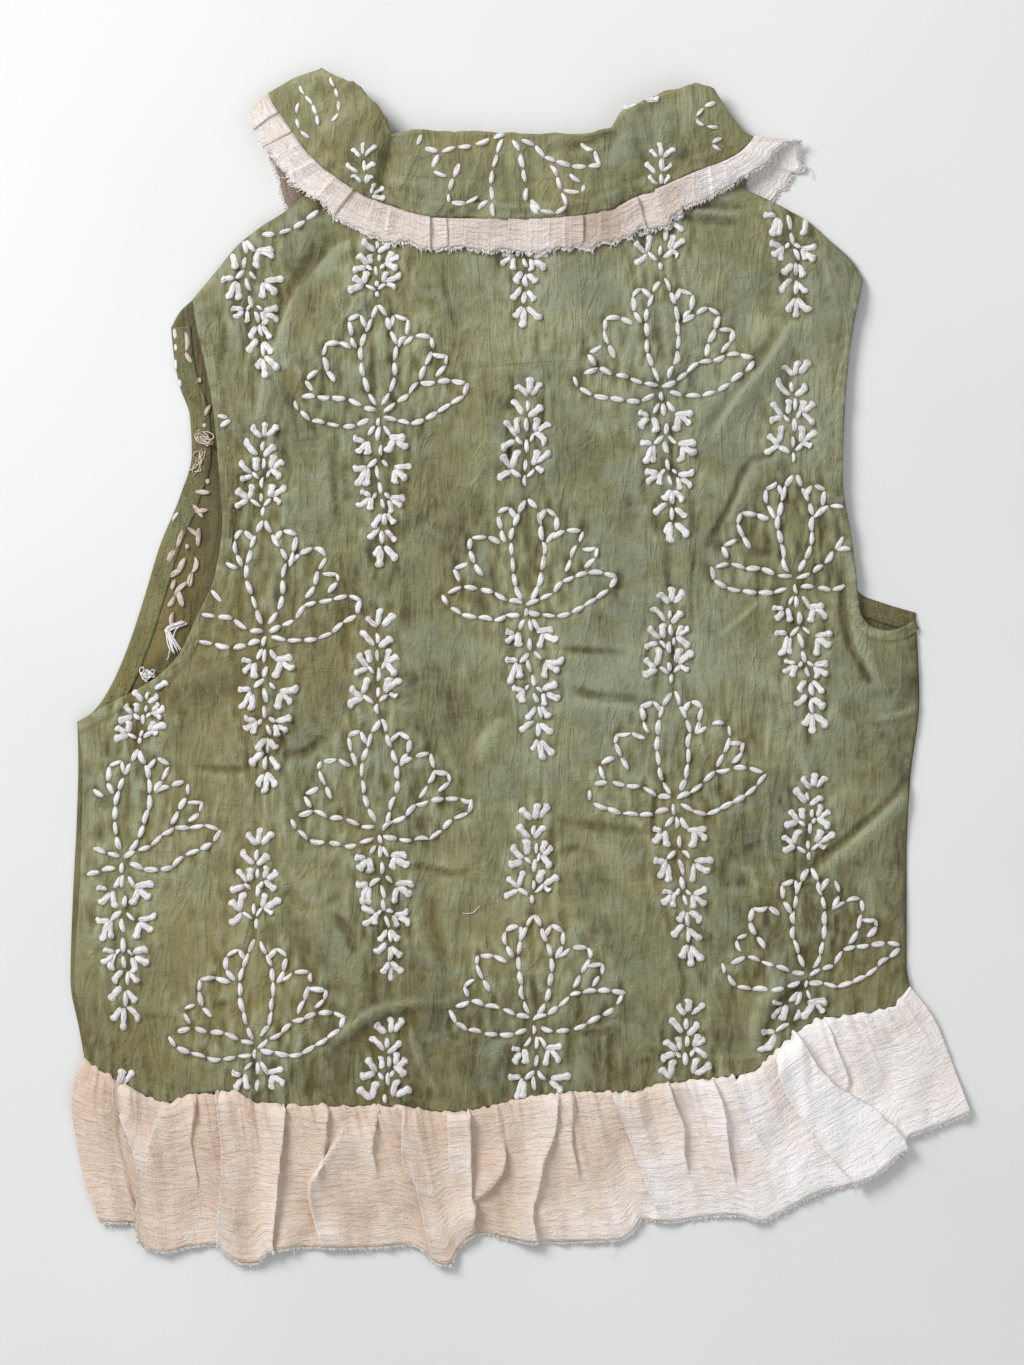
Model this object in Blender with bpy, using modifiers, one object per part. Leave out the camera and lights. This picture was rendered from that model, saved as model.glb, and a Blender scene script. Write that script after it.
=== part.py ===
"""A sleeveless embroidered cotton waistcoat, laid flat face down with its back uppermost.

Cloth lies in two layers on the surface z = 0: the two fronts below, the back above. A wide collar
rolls over at the neck and turns under at both sides, and a gathered muslin frill edges the collar
and the hem. X runs across the garment, +Y towards the neck. Units are metres.
"""
import math

import bmesh
import bpy
import numpy as np
from mathutils import Vector
from mathutils.geometry import delaunay_2d_cdt

# Cloth and layers
WALL = 0.0012          # thickness of every cloth wall
FACING_WALL = 0.0010   # thickness of the armhole facings and of the neck patch
SEAM_GAP = 0.0003      # gap between two pieces that are sewn together
LAYER = 0.0018         # mid-height of one cloth above the mid-height of the cloth it lies on
LOFT = 0.0030          # air under the back, away from the side and shoulder seams
SEAM_ROLL = 0.014      # how far in from a seam the back reaches its full loft

# Heights of the collar's layers, at mid-wall
COLLAR_BED = 0.0026    # how far the collar's under layer lifts the fronts
BED_RAMP = 0.028       # distance over which a front climbs on to the bed
# Outer edge of the collar's under layer: distance from the centre line, and y
BED_EDGE = ((0.000, 0.112), (0.073, 0.158), (0.121, 0.208), (0.143, 0.248), (0.157, 0.300), (0.200, 0.450))

# Mesh sizes
BACK_CELL = 0.0165
FRONT_CELL = 0.026
OUTLINE_STEP = 0.0095
HEM_PARTS = 48         # straight parts of the hem line, shared by the panels and their frills
EDGE_CLEAR = 0.45      # corners inside a panel stay this share of a cell from its outline

FACING_WIDTH = 0.011

# Outlines on the surface, as x, y. Each is one edge of a cut piece.
SHOULDER_LEFT = ((-0.1038, 0.2732), (-0.130, 0.2490), (-0.142, 0.2415), (-0.155, 0.2315), (-0.168, 0.216),
                 (-0.1805, 0.201))
BACK_ARMHOLE_LEFT = ((-0.1805, 0.201), (-0.1785, 0.188), (-0.173, 0.163), (-0.168, 0.132), (-0.166, 0.106),
                     (-0.164, 0.080), (-0.168, 0.050), (-0.178, 0.027), (-0.188, 0.006), (-0.201, -0.007),
                     (-0.228, -0.022), (-0.244, -0.031))
BACK_SIDE_LEFT = ((-0.244, -0.031), (-0.241, -0.055), (-0.2415, -0.089), (-0.243, -0.129), (-0.2455, -0.173),
                  (-0.241, -0.200), (-0.240, -0.2165))
HEM_BACK = ((-0.240, -0.2165), (-0.229, -0.225), (-0.207, -0.236), (-0.196, -0.2405), (-0.178, -0.236),
            (-0.157, -0.2345), (-0.1435, -0.241), (-0.103, -0.2425), (-0.067, -0.2425), (-0.041, -0.246),
            (-0.017, -0.2425), (0.006, -0.2375), (0.030, -0.235), (0.058, -0.235), (0.081, -0.230),
            (0.109, -0.227), (0.1265, -0.224), (0.139, -0.213), (0.150, -0.203), (0.166, -0.194),
            (0.190, -0.192), (0.205, -0.187), (0.214, -0.177))
BACK_SIDE_RIGHT = ((0.214, -0.177), (0.211, -0.165), (0.211, -0.107), (0.213, -0.063), (0.218, -0.019),
                   (0.217, 0.026))
BACK_ARMHOLE_RIGHT = ((0.217, 0.026), (0.210, 0.0215), (0.202, 0.019), (0.193, 0.021), (0.186, 0.030),
                      (0.184, 0.050), (0.1815, 0.070), (0.1765, 0.103), (0.178, 0.146), (0.1815, 0.180),
                      (0.188, 0.212))
SHOULDER_RIGHT = ((0.188, 0.212), (0.182, 0.222), (0.169, 0.234), (0.157, 0.2445), (0.146, 0.2505),
                  (0.120, 0.263), (0.101, 0.2735))

FRONT_TIP_LEFT = ((-0.1805, 0.201), (-0.1875, 0.1945), (-0.1925, 0.1855))
FRONT_ARMHOLE_LEFT = ((-0.1925, 0.1855), (-0.191, 0.171), (-0.1875, 0.153), (-0.182, 0.137), (-0.181, 0.116),
                      (-0.1875, 0.093), (-0.1985, 0.066), (-0.207, 0.038), (-0.2155, 0.012), (-0.227, -0.014),
                      (-0.236, -0.026), (-0.244, -0.031))
FRONT_SIDE_LEFT = ((-0.244, -0.031), (-0.2435, -0.055), (-0.2445, -0.089), (-0.2465, -0.129),
                   (-0.2478, -0.173), (-0.243, -0.200), (-0.240, -0.2165))
FRONT_ARMHOLE_RIGHT = ((0.217, 0.029), (0.208, 0.0315), (0.197, 0.035), (0.187, 0.039), (0.1805, 0.052),
                       (0.178, 0.070), (0.173, 0.103), (0.1745, 0.146), (0.178, 0.180), (0.188, 0.212))
FRONT_SIDE_RIGHT = ((0.214, -0.177), (0.212, -0.165), (0.212, -0.107), (0.214, -0.063), (0.219, -0.019),
                    (0.217, 0.029))
CENTRE_GAP = 0.0008    # half the gap between the two front edges

# The hem frill's free edge, from its left end round to its right end
FRILL_EDGE = ((-0.2315, -0.3055), (-0.221, -0.306), (-0.2125, -0.3068), (-0.2070, -0.3180), (-0.196, -0.322),
              (-0.181, -0.319), (-0.169, -0.3185), (-0.160, -0.325), (-0.152, -0.3285), (-0.145, -0.328),
              (-0.139, -0.3225), (-0.120, -0.3195), (-0.103, -0.320), (-0.080, -0.3195), (-0.0615, -0.318),
              (-0.052, -0.3225), (-0.047, -0.328), (-0.040, -0.3292), (-0.035, -0.321), (-0.029, -0.3145),
              (-0.020, -0.312), (-0.009, -0.3145), (0.010, -0.317), (0.032, -0.3165), (0.053, -0.3155),
              (0.0605, -0.3115), (0.0665, -0.3045), (0.0825, -0.3055), (0.100, -0.303), (0.118, -0.302),
              (0.1325, -0.305), (0.142, -0.3005), (0.151, -0.296), (0.163, -0.2895), (0.179, -0.286),
              (0.190, -0.282), (0.1985, -0.277), (0.205, -0.271), (0.2105, -0.266), (0.213, -0.259),
              (0.2245, -0.2545), (0.236, -0.250), (0.247, -0.245))
FRILL_LEFT_END = ((-0.240, -0.2165), (-0.2455, -0.228), (-0.247, -0.2395), (-0.245, -0.2575),
                  (-0.241, -0.2775), (-0.2355, -0.296), (-0.2315, -0.3055))
FRILL_RIGHT_END = ((0.214, -0.177), (0.2215, -0.186), (0.228, -0.196), (0.2335, -0.209), (0.239, -0.224),
                   (0.247, -0.245))

# Broad folds in the back: from, to, height (a trough is negative) and half-width
BACK_FOLDS = (
    ("shoulder trough", (-0.104, 0.237), (-0.137, 0.176), -0.0022, 0.011),
    ("shoulder ridge", (-0.088, 0.226), (-0.124, 0.158), 0.0030, 0.013),
    ("right blade", (0.147, 0.189), (0.105, 0.128), 0.0030, 0.012),
    ("right waist", (0.120, 0.104), (0.104, 0.066), 0.0024, 0.011),
    ("right underarm", (0.178, 0.030), (0.193, -0.014), -0.0020, 0.010),
    ("left underarm", (-0.177, -0.022), (-0.153, -0.074), 0.0030, 0.015),
    ("left waist", (-0.140, -0.052), (-0.106, -0.040), -0.0022, 0.011),
    ("left hem", (-0.102, -0.136), (-0.083, -0.200), 0.0028, 0.012),
    ("hem hollow", (-0.066, -0.188), (0.052, -0.202), -0.0022, 0.015),
    ("hem ridge", (-0.040, -0.166), (0.060, -0.176), 0.0016, 0.014),
    ("right hem tuck", (0.147, -0.172), (0.134, -0.218), 0.0036, 0.011),
    ("left side", (-0.222, -0.120), (-0.218, -0.196), 0.0022, 0.014),
    ("middle", (0.030, 0.060), (0.024, -0.020), 0.0016, 0.016),
)

# Long folds of the hem frill: place along the seam and along the free edge (0 left, 1 right),
# height, half-width and lean (the share of the half-width on the fold's steep side)
FRILL_FOLDS = (
    (0.030, 0.040, 0.0012, 0.016, 0.9),
    (0.085, 0.072, 0.0040, 0.012, 0.35),
    (0.135, 0.130, 0.0022, 0.012, 0.8),
    (0.195, 0.166, 0.0046, 0.015, 0.45),
    (0.275, 0.252, 0.0034, 0.015, 1.6),
    (0.335, 0.305, 0.0024, 0.012, 0.7),
    (0.405, 0.408, 0.0036, 0.013, 0.5),
    (0.462, 0.452, 0.0050, 0.017, 1.7),
    (0.512, 0.492, 0.0024, 0.011, 0.8),
    (0.580, 0.552, 0.0038, 0.014, 1.5),
    (0.640, 0.632, 0.0022, 0.013, 0.7),
    (0.668, 0.680, 0.0040, 0.014, 0.5),
    (0.730, 0.728, 0.0024, 0.012, 0.9),
    (0.790, 0.775, 0.0032, 0.012, 1.3),
    (0.850, 0.838, 0.0044, 0.015, 0.6),
    (0.893, 0.912, 0.0052, 0.014, 1.8),
    (0.950, 0.968, 0.0022, 0.013, 0.9),
)
HEM_GATHERS = 42
HEM_GATHER_HEIGHT = 0.0011
COLLAR_PLEAT_HEIGHT = 0.0009

# How the collar lies at a section: heights of its seam, roll, edge and frill, the radius of its roll,
# and the way its right side faces, in degrees above the horizon
LAYERS = {
    "upper": {"seam": 0.0080, "roll": 0.0104, "edge": 0.0104, "frill": 0.0101, "radius": 0.0021, "faces": 90},
    "horn": {"seam": 0.0076, "roll": 0.0118, "edge": 0.0116, "frill": 0.0102, "radius": 0.0030, "faces": 82},
    "side": {"seam": 0.0063, "roll": 0.0102, "edge": 0.0094, "frill": 0.0088, "radius": 0.0026, "faces": 55},
    "bend": {"seam": 0.0057, "roll": 0.0088, "edge": 0.0080, "frill": 0.0074, "radius": 0.0024, "faces": 30},
    "turn": {"seam": 0.0050, "roll": 0.0062, "edge": 0.0058, "frill": 0.0052, "radius": 0.0022, "faces": 0},
    "tuck": {"seam": 0.0034, "roll": 0.0031, "edge": 0.0025, "frill": 0.0022, "radius": 0.0016, "faces": -60},
    "under": {"seam": 0.0032, "roll": 0.0019, "edge": 0.0006, "frill": 0.0006, "radius": 0.0013, "faces": -90},
}
# Sections across the collar, from the left centre front, up the left front, over the back of the neck
# and down the right front: its seam, its roll, its outer edge and its frill's edge, each as x, y, and
# how far the middle of its fall dips towards the seam
COLLAR_SECTIONS = (
    ("under", (-0.002, 0.158), (-0.002, 0.182), (-0.002, 0.137), (-0.002, 0.119), 0.0),
    ("under", (-0.050, 0.205), (-0.036, 0.224), (-0.064, 0.181), (-0.073, 0.166), 0.0),
    ("under", (-0.088, 0.250), (-0.070, 0.268), (-0.107, 0.229), (-0.121, 0.217), 0.0),
    ("under", (-0.099, 0.268), (-0.092, 0.298), (-0.125, 0.274), (-0.137, 0.267), 0.0),
    ("tuck", (-0.1010, 0.2725), (-0.1025, 0.3190), (-0.1345, 0.3020), (-0.1450, 0.2930), 0.0),
    ("turn", (-0.1045, 0.2750), (-0.1090, 0.3270), (-0.1385, 0.3140), (-0.1480, 0.3045), -0.0018),
    ("bend", (-0.1035, 0.2744), (-0.1070, 0.3255), (-0.1370, 0.3095), (-0.1470, 0.3010), -0.0016),
    ("side", (-0.1012, 0.2730), (-0.1000, 0.3215), (-0.1300, 0.2990), (-0.1432, 0.2920), -0.0010),
    ("horn", (-0.0970, 0.2705), (-0.0910, 0.3185), (-0.1155, 0.279), (-0.1300, 0.2720), 0.0),
    ("horn", (-0.089, 0.2665), (-0.0800, 0.3085), (-0.0985, 0.265), (-0.1100, 0.2530), 0.0),
    ("horn", (-0.081, 0.264), (-0.0740, 0.3000), (-0.0870, 0.258), (-0.0945, 0.2425), 0.0),
    ("upper", (-0.072, 0.2615), (-0.0710, 0.2910), (-0.0755, 0.253), (-0.0790, 0.2355), 0.0),
    ("upper", (-0.045, 0.2585), (-0.045, 0.2930), (-0.044, 0.245), (-0.044, 0.2275), 0.0),
    ("upper", (0.000, 0.257), (0.000, 0.2910), (0.000, 0.2445), (0.000, 0.2270), 0.0),
    ("upper", (0.030, 0.2575), (0.029, 0.2915), (0.029, 0.246), (0.029, 0.2285), 0.0),
    ("upper", (0.050, 0.2590), (0.0495, 0.2935), (0.051, 0.2505), (0.052, 0.2325), 0.0),
    ("horn", (0.059, 0.2605), (0.0555, 0.3040), (0.060, 0.255), (0.063, 0.2370), 0.0),
    ("horn", (0.073, 0.264), (0.0660, 0.3085), (0.073, 0.2605), (0.078, 0.2420), 0.0),
    ("horn", (0.089, 0.2685), (0.085, 0.3155), (0.095, 0.270), (0.095, 0.2545), 0.002),
    ("side", (0.0970, 0.2722), (0.0975, 0.3180), (0.1165, 0.279), (0.1240, 0.2690), 0.005),
    ("bend", (0.1005, 0.2742), (0.1030, 0.3165), (0.1260, 0.2875), (0.1490, 0.2865), 0.006),
    ("turn", (0.1020, 0.2750), (0.1045, 0.3150), (0.1280, 0.2905), (0.1530, 0.2905), 0.0065),
    ("tuck", (0.0985, 0.2720), (0.0990, 0.3080), (0.1245, 0.2830), (0.1490, 0.2790), 0.003),
    ("under", (0.0965, 0.268), (0.090, 0.294), (0.122, 0.262), (0.1380, 0.2560), 0.0),
    ("under", (0.086, 0.248), (0.069, 0.267), (0.106, 0.228), (0.120, 0.216), 0.0),
    ("under", (0.050, 0.205), (0.036, 0.224), (0.064, 0.181), (0.073, 0.166), 0.0),
    ("under", (0.002, 0.158), (0.002, 0.182), (0.002, 0.137), (0.002, 0.119), 0.0),
)
LEFT_TURN = 5          # row of COLLAR_SECTIONS at the left turn
RIGHT_TURN = 21        # and at the right turn
COLLAR_STEP = 0.015    # between columns of the collar, halved near its turns
UPPER_PLEATS = 27      # pleats of the collar's frill between its turns
PLEAT_PARTS = 4        # columns of the frill to each column of the collar there
NECK_GAP = 0.0004
TURN_GAP = 0.0007      # added between the collar and its frill where both fold sharply

# The patch sewn inside the back of the neck, and the tab below it
PATCH_CORNERS = ((-0.0315, 0.1635), (0.0325, 0.168), (0.0315, 0.2245), (-0.0355, 0.2245))
PATCH_CELL = 0.016

# Colours as red, green, blue
GREEN = (0.200, 0.205, 0.118)
GREEN_INSIDE = (0.150, 0.150, 0.085)
CREAM = (0.720, 0.610, 0.510)


def clear_scene():
    for obj in list(bpy.data.objects):
        bpy.data.objects.remove(obj)


def cloth_material(name, colour, roughness):
    material = bpy.data.materials.new(name)
    material.use_nodes = True
    shader = material.node_tree.nodes["Principled BSDF"]
    shader.inputs["Base Color"].default_value = (*colour, 1.0)
    shader.inputs["Roughness"].default_value = roughness
    shader.inputs["Metallic"].default_value = 0.0
    return material


def along(points, places):
    """Points of a smooth curve through these points, at these places from 0 to 1 along its length."""
    points = np.asarray(points, float)
    steps = np.linalg.norm(np.diff(points[:, :2], axis=0), axis=1)
    knots = np.concatenate([[0.0], np.cumsum(np.maximum(steps, 1e-6))])
    rates = np.diff(points, axis=0) / np.diff(knots)[:, None]
    before, after = rates[:-1], rates[1:]
    total = np.where(before + after == 0, 1, before + after)
    together = np.where(before * after > 0, 2 * before * after / total, 0)
    slopes = np.concatenate([rates[:1], together, rates[-1:]])
    where = np.clip(np.asarray(places, float), 0.0, 1.0) * knots[-1]
    i = np.clip(np.searchsorted(knots, where, side="right") - 1, 0, len(knots) - 2)
    span = (knots[i + 1] - knots[i])[:, None]
    t = (where - knots[i])[:, None] / span
    return ((1 + 2 * t) * (1 - t) ** 2 * points[i] + t * (1 - t) ** 2 * span * slopes[i]
            + t * t * (3 - 2 * t) * points[i + 1] + t * t * (t - 1) * span * slopes[i + 1])


def edge_points(points, step=OUTLINE_STEP):
    """A smooth curve through these points, sampled about every step, without its last point."""
    length = np.linalg.norm(np.diff(np.asarray(points, float), axis=0), axis=1).sum()
    count = max(2, math.ceil(length / step))
    return along(points, np.arange(count) / count)


def on_line(points, places):
    """Points of a straight-sided line, at these places from 0 to 1, counted in its corners."""
    points = np.asarray(points, float)
    where = np.clip(places, 0.0, 1.0) * (len(points) - 1)
    return np.stack([np.interp(where, np.arange(len(points)), column) for column in points.T], axis=1)


def smoothstep(t):
    t = np.clip(t, 0.0, 1.0)
    return t * t * (3 - 2 * t)


def distance_to(x, y, line):
    """Distance of points from a polyline, and the place of the nearest point along it."""
    best = np.full(np.shape(x), 1e9)
    place = np.zeros(np.shape(x))
    line = np.asarray(line, float)
    for k, (a, b) in enumerate(zip(line[:-1], line[1:])):
        run = b - a
        t = np.clip(((x - a[0]) * run[0] + (y - a[1]) * run[1]) / (run @ run), 0, 1)
        d = np.hypot(x - a[0] - t * run[0], y - a[1] - t * run[1])
        place = np.where(d < best, (k + t) / (len(line) - 1), place)
        best = np.minimum(best, d)
    return best, place


def front_height(x, y):
    """Mid-height of the fronts: flat on the surface, and raised over the collar's under layer."""
    edge = np.interp(np.abs(x), *np.transpose(BED_EDGE))
    return WALL / 2 + COLLAR_BED * smoothstep((y - edge) / BED_RAMP + 1)


def back_height(x, y):
    """Mid-height of the back: on the fronts, with air under it that runs out at the seams."""
    height = front_height(x, y) + LAYER
    gap = np.full(np.shape(x), 1e9)
    for seam in (SHOULDER_LEFT, BACK_SIDE_LEFT, BACK_SIDE_RIGHT, SHOULDER_RIGHT):
        gap = np.minimum(gap, distance_to(x, y, seam)[0])
    rise = 1 - np.clip(gap / SEAM_ROLL, 0, 1)
    loft = LOFT * (1 - rise ** 2)
    share = loft / LOFT
    folds = 0.0
    for _, start, end, fold, width in BACK_FOLDS:
        d, place = distance_to(x, y, (start, end))
        folds = folds + fold * np.exp(-((d / width) ** 2)) * (0.6 + 0.4 * np.sin(math.pi * place))
    return height + loft + np.maximum(folds, -0.8 * LOFT) * share


def add_cloth(name, bm, wall, material, collection):
    """One cloth wall: the sheet in bm, thickened evenly to both sides."""
    mesh = bpy.data.meshes.new(name)
    bm.to_mesh(mesh)
    bm.free()
    mesh.materials.append(material)
    mesh.shade_smooth()
    obj = bpy.data.objects.new(name, mesh)
    collection.objects.link(obj)
    thicken = obj.modifiers.new("Cloth wall", "SOLIDIFY")
    thicken.thickness = wall
    thicken.offset = 0.0
    return obj


def flat_cut(outline, cell):
    """A flat sheet of this outline, counter-clockwise, with a grid of corners inside it."""
    outline = np.asarray(outline, float)
    low, high = outline.min(axis=0), outline.max(axis=0)
    counts = np.ceil((high - low) / cell).astype(int)
    columns = np.linspace(low[0], high[0], counts[0] + 1)
    rows = np.linspace(low[1], high[1], counts[1] + 1)
    xs, ys = np.meshgrid(columns, rows)
    closed = np.concatenate([outline, outline[:1]])
    away, _ = distance_to(xs, ys, closed)
    free = away > EDGE_CLEAR * cell
    inner = np.column_stack([xs[free], ys[free]])
    points = [Vector(point) for point in np.concatenate([outline, inner])]
    border = list(range(len(outline)))
    verts, _, faces, *_ = delaunay_2d_cdt(points, [], [border], 1, 1e-6)
    bm = bmesh.new()
    corners = [bm.verts.new((point.x, point.y, 0.0)) for point in verts]
    for face in faces:
        bm.faces.new([corners[k] for k in face])
    bmesh.ops.recalc_face_normals(bm, faces=bm.faces)
    bm.normal_update()
    if sum(face.normal.z for face in bm.faces) < 0:
        bmesh.ops.reverse_faces(bm, faces=bm.faces)
    bmesh.ops.join_triangles(bm, faces=bm.faces, angle_face_threshold=3.1, angle_shape_threshold=0.6)
    return bm


def add_panel(name, outline, cell, height, wall, material, collection):
    """A panel cut to an outline and laid at a height that changes over the surface."""
    bm = flat_cut(outline, cell)
    xs = np.array([vert.co.x for vert in bm.verts])
    ys = np.array([vert.co.y for vert in bm.verts])
    for vert, z in zip(bm.verts, height(xs, ys)):
        vert.co.z = z
    return add_cloth(name, bm, wall, material, collection)


def add_strip(name, columns, rows, place, wall, material, collection):
    """A strip of cloth: a grid whose point at (along, across), each from 0 to 1, goes where place says."""
    bm = bmesh.new()
    bmesh.ops.create_grid(bm, x_segments=columns, y_segments=rows, size=0.5)
    u = np.array([vert.co.x + 0.5 for vert in bm.verts])
    v = np.array([vert.co.y + 0.5 for vert in bm.verts])
    for vert, point in zip(bm.verts, place(u, v)):
        vert.co = point
    return add_cloth(name, bm, wall, material, collection)


def hem_line():
    """The hem of the panels, left to right, as the corners that the panels and the frills share."""
    return along(HEM_BACK, np.linspace(0, 1, HEM_PARTS + 1))


def collar_columns():
    """The collar's sections as numbers: edge, seam, roll and frill in 3-D, then radius, facing and dip."""
    rows = []
    for layer, seam, roll, edge, frill, dip in COLLAR_SECTIONS:
        lie = LAYERS[layer]
        rows.append((*edge, lie["edge"], *seam, lie["seam"], *roll, lie["roll"], *frill, lie["frill"],
                     lie["radius"], lie["faces"], dip))
    return np.array(rows)


def collar_places():
    """Places along the collar where it has a column of corners, and which section each is at or past."""
    columns = collar_columns()
    steps = np.linalg.norm(np.diff(columns[:, :2], axis=0), axis=1)
    lengths = np.concatenate([[0.0], np.cumsum(steps)])
    places, section = [], []
    for k, step in enumerate(steps):
        near_turn = min(abs(k + 0.5 - LEFT_TURN), abs(k + 0.5 - RIGHT_TURN)) < 3
        count = math.ceil(step / (COLLAR_STEP / 2 if near_turn else COLLAR_STEP))
        for part in range(count):
            section.append(k + part / count)
            places.append((lengths[k] + step * part / count) / lengths[-1])
    return np.array(places + [1.0]), np.array(section + [len(steps)])


def collar_at(u):
    """Seam, roll, edge, frill, radius, outward and right-side directions and dip at places along it."""
    row = along(collar_columns(), u)
    edge, seam, roll, frill = row[:, 0:3], row[:, 3:6], row[:, 6:9], row[:, 9:12]
    outwards = roll - (seam + edge) / 2
    outwards[:, 2] = 0.0
    outwards /= np.linalg.norm(outwards, axis=1)[:, None]
    fold = roll - edge
    side = np.stack([-fold[:, 1], fold[:, 0], np.zeros(len(u))], axis=1)
    side /= np.linalg.norm(side, axis=1)[:, None]
    side *= np.sign(roll[:, 0] * side[:, 0])[:, None]
    faces = np.radians(row[:, 13])[:, None]
    right_side = np.cos(faces) * side + np.sin(faces) * np.array([0.0, 0.0, 1.0])
    return seam, roll, edge, frill, row[:, 12:13], outwards, right_side, row[:, 14:15]


# Across the collar: places of its seam, the start, tip and end of its roll, and its outer edge
ACROSS = (0.0, 0.34, 0.42, 0.50, 0.58, 0.66, 1.0)
ACROSS_COLUMNS = ((0.0,), (0.17,), (0.34,), (0.42,), (0.50,), (0.58,), (0.66,), (0.77,), (0.89,), (1.0,))


def collar_point(u, v):
    """A point of the collar: up the stand, round the roll and down the fall."""
    seam, roll, edge, _, radius, outwards, right_side, dip = collar_at(u)
    centre = roll - radius * outwards
    controls = [seam]
    for angle in (-90, -45, 0, 45, 90):
        a = math.radians(angle)
        controls.append(centre + radius * (math.cos(a) * outwards + math.sin(a) * right_side))
    controls.append(edge)
    controls = np.stack(controls)
    k = np.clip(np.searchsorted(ACROSS, v, side="right") - 1, 0, len(ACROSS) - 2)
    low = np.array(ACROSS)[k]
    high = np.array(ACROSS)[k + 1]
    t = ((v - low) / (high - low))[:, None]
    column = np.arange(len(v))
    down_fall = np.where(v[:, None] > ACROSS[-2], t, 0.0)
    sag = dip * 4 * down_fall * (1 - down_fall) * outwards
    return controls[k, column] * (1 - t) + controls[k + 1, column] * t - sag


def collar_frill_columns():
    """The frill's columns: place along the collar, point of the collar's edge, and place in the pleats."""
    places, section = collar_places()
    edges = collar_at(places)[2]
    rows = []
    for k in range(len(places) - 1):
        upper = LEFT_TURN + 2 <= section[k] < RIGHT_TURN - 2
        count = PLEAT_PARTS if upper else 1
        for part in range(count):
            t = part / count
            phase = (section[k] + t * (section[k + 1] - section[k]) - LEFT_TURN) / (RIGHT_TURN - LEFT_TURN)
            point = edges[k] * (1 - t) + edges[k + 1] * t
            rows.append((places[k] * (1 - t) + places[k + 1] * t, *point, phase))
    rows.append((1.0, *edges[-1], 2.0))
    return np.array(rows)


def collar_frill_point(u, v):
    """A point of the collar's frill: it starts a seam's gap beyond the collar's edge and stands in pleats."""
    column = on_line(collar_frill_columns(), u)
    edge, phase = column[:, 1:4], column[:, 4]
    _, _, _, frill, _, _, right_side, _ = collar_at(column[:, 0])
    run = frill - edge
    width = np.linalg.norm(run, axis=1)[:, None]
    at_turn = np.exp(-((np.minimum(np.abs(phase), np.abs(phase - 1)) / 0.08) ** 2))[:, None]
    start = edge + run / width * (SEAM_GAP + TURN_GAP * at_turn)
    pleated = smoothstep(np.minimum(phase - 0.04, 0.96 - phase) / 0.08)
    wave = 0.5 - 0.5 * np.cos(2 * math.pi * UPPER_PLEATS * phase)
    lift = COLLAR_PLEAT_HEIGHT * wave * pleated * v
    return start + (frill - start) * v[:, None] + right_side * lift[:, None]


def hem_frill_point(u, v):
    """A point of the back's hem frill: gathered at the seam, with long folds down to its free edge."""
    seam = on_line(hem_line(), u)
    free = along(FRILL_EDGE, u)
    left = along(FRILL_LEFT_END, v)
    right = along(FRILL_RIGHT_END, v)
    straight_left = np.outer(1 - v, HEM_BACK[0]) + np.outer(v, FRILL_EDGE[0])
    straight_right = np.outer(1 - v, HEM_BACK[-1]) + np.outer(v, FRILL_EDGE[-1])
    flat = seam * (1 - v)[:, None] + free * v[:, None]
    near_left = np.exp(-u / 0.03)[:, None]
    near_right = np.exp(-(1 - u) / 0.03)[:, None]
    flat = flat + near_left * (left - straight_left) + near_right * (right - straight_right)
    down = free - seam
    down /= np.linalg.norm(down, axis=1)[:, None]
    flat = flat + down * SEAM_GAP * (1 - v)[:, None]
    at_seam = back_height(seam[:, 0], seam[:, 1])
    on_front = WALL / 2 + LAYER
    ends = smoothstep(np.minimum(u, 1 - u) / 0.02)
    height = on_front + (at_seam - on_front) * (1 - smoothstep(v / 0.75))
    folds = np.zeros(len(u))
    for top, bottom, rise, width, lean in FRILL_FOLDS:
        gap = (u - top - (bottom - top) * v) * 0.52
        side = np.where(gap > 0, width * lean, width)
        folds = folds + rise * np.exp(-((gap / side) ** 2))
    gathers = HEM_GATHER_HEIGHT * (0.5 - 0.5 * np.cos(2 * math.pi * HEM_GATHERS * u))
    fade = np.exp(-v / 0.35)
    height = height + ends * (folds * smoothstep(v / 0.45) + gathers * fade * smoothstep(v / 0.12))
    return np.column_stack([flat, height])


def shifted(points, towards, distance):
    """Points moved by a distance towards other points."""
    run = towards - points
    return points + run / np.linalg.norm(run, axis=1)[:, None] * distance


def neckline(first, last):
    """The edge of the panels at the neck between two of the collar's sections, a seam's gap from it."""
    places, section = collar_places()
    between = places[(section >= first) & (section <= last)]
    seam, roll, *_ = collar_at(between)
    return shifted(seam[:, :2], roll[:, :2], -NECK_GAP)


def add_back(material, collection):
    outline = np.concatenate([
        edge_points(SHOULDER_LEFT), edge_points(BACK_ARMHOLE_LEFT), edge_points(BACK_SIDE_LEFT),
        hem_line()[:-1], edge_points(BACK_SIDE_RIGHT), edge_points(BACK_ARMHOLE_RIGHT),
        edge_points(SHOULDER_RIGHT), neckline(LEFT_TURN + 2, RIGHT_TURN - 2)[::-1]])
    return add_panel("back", outline, BACK_CELL, back_height, WALL, material, collection)


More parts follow.
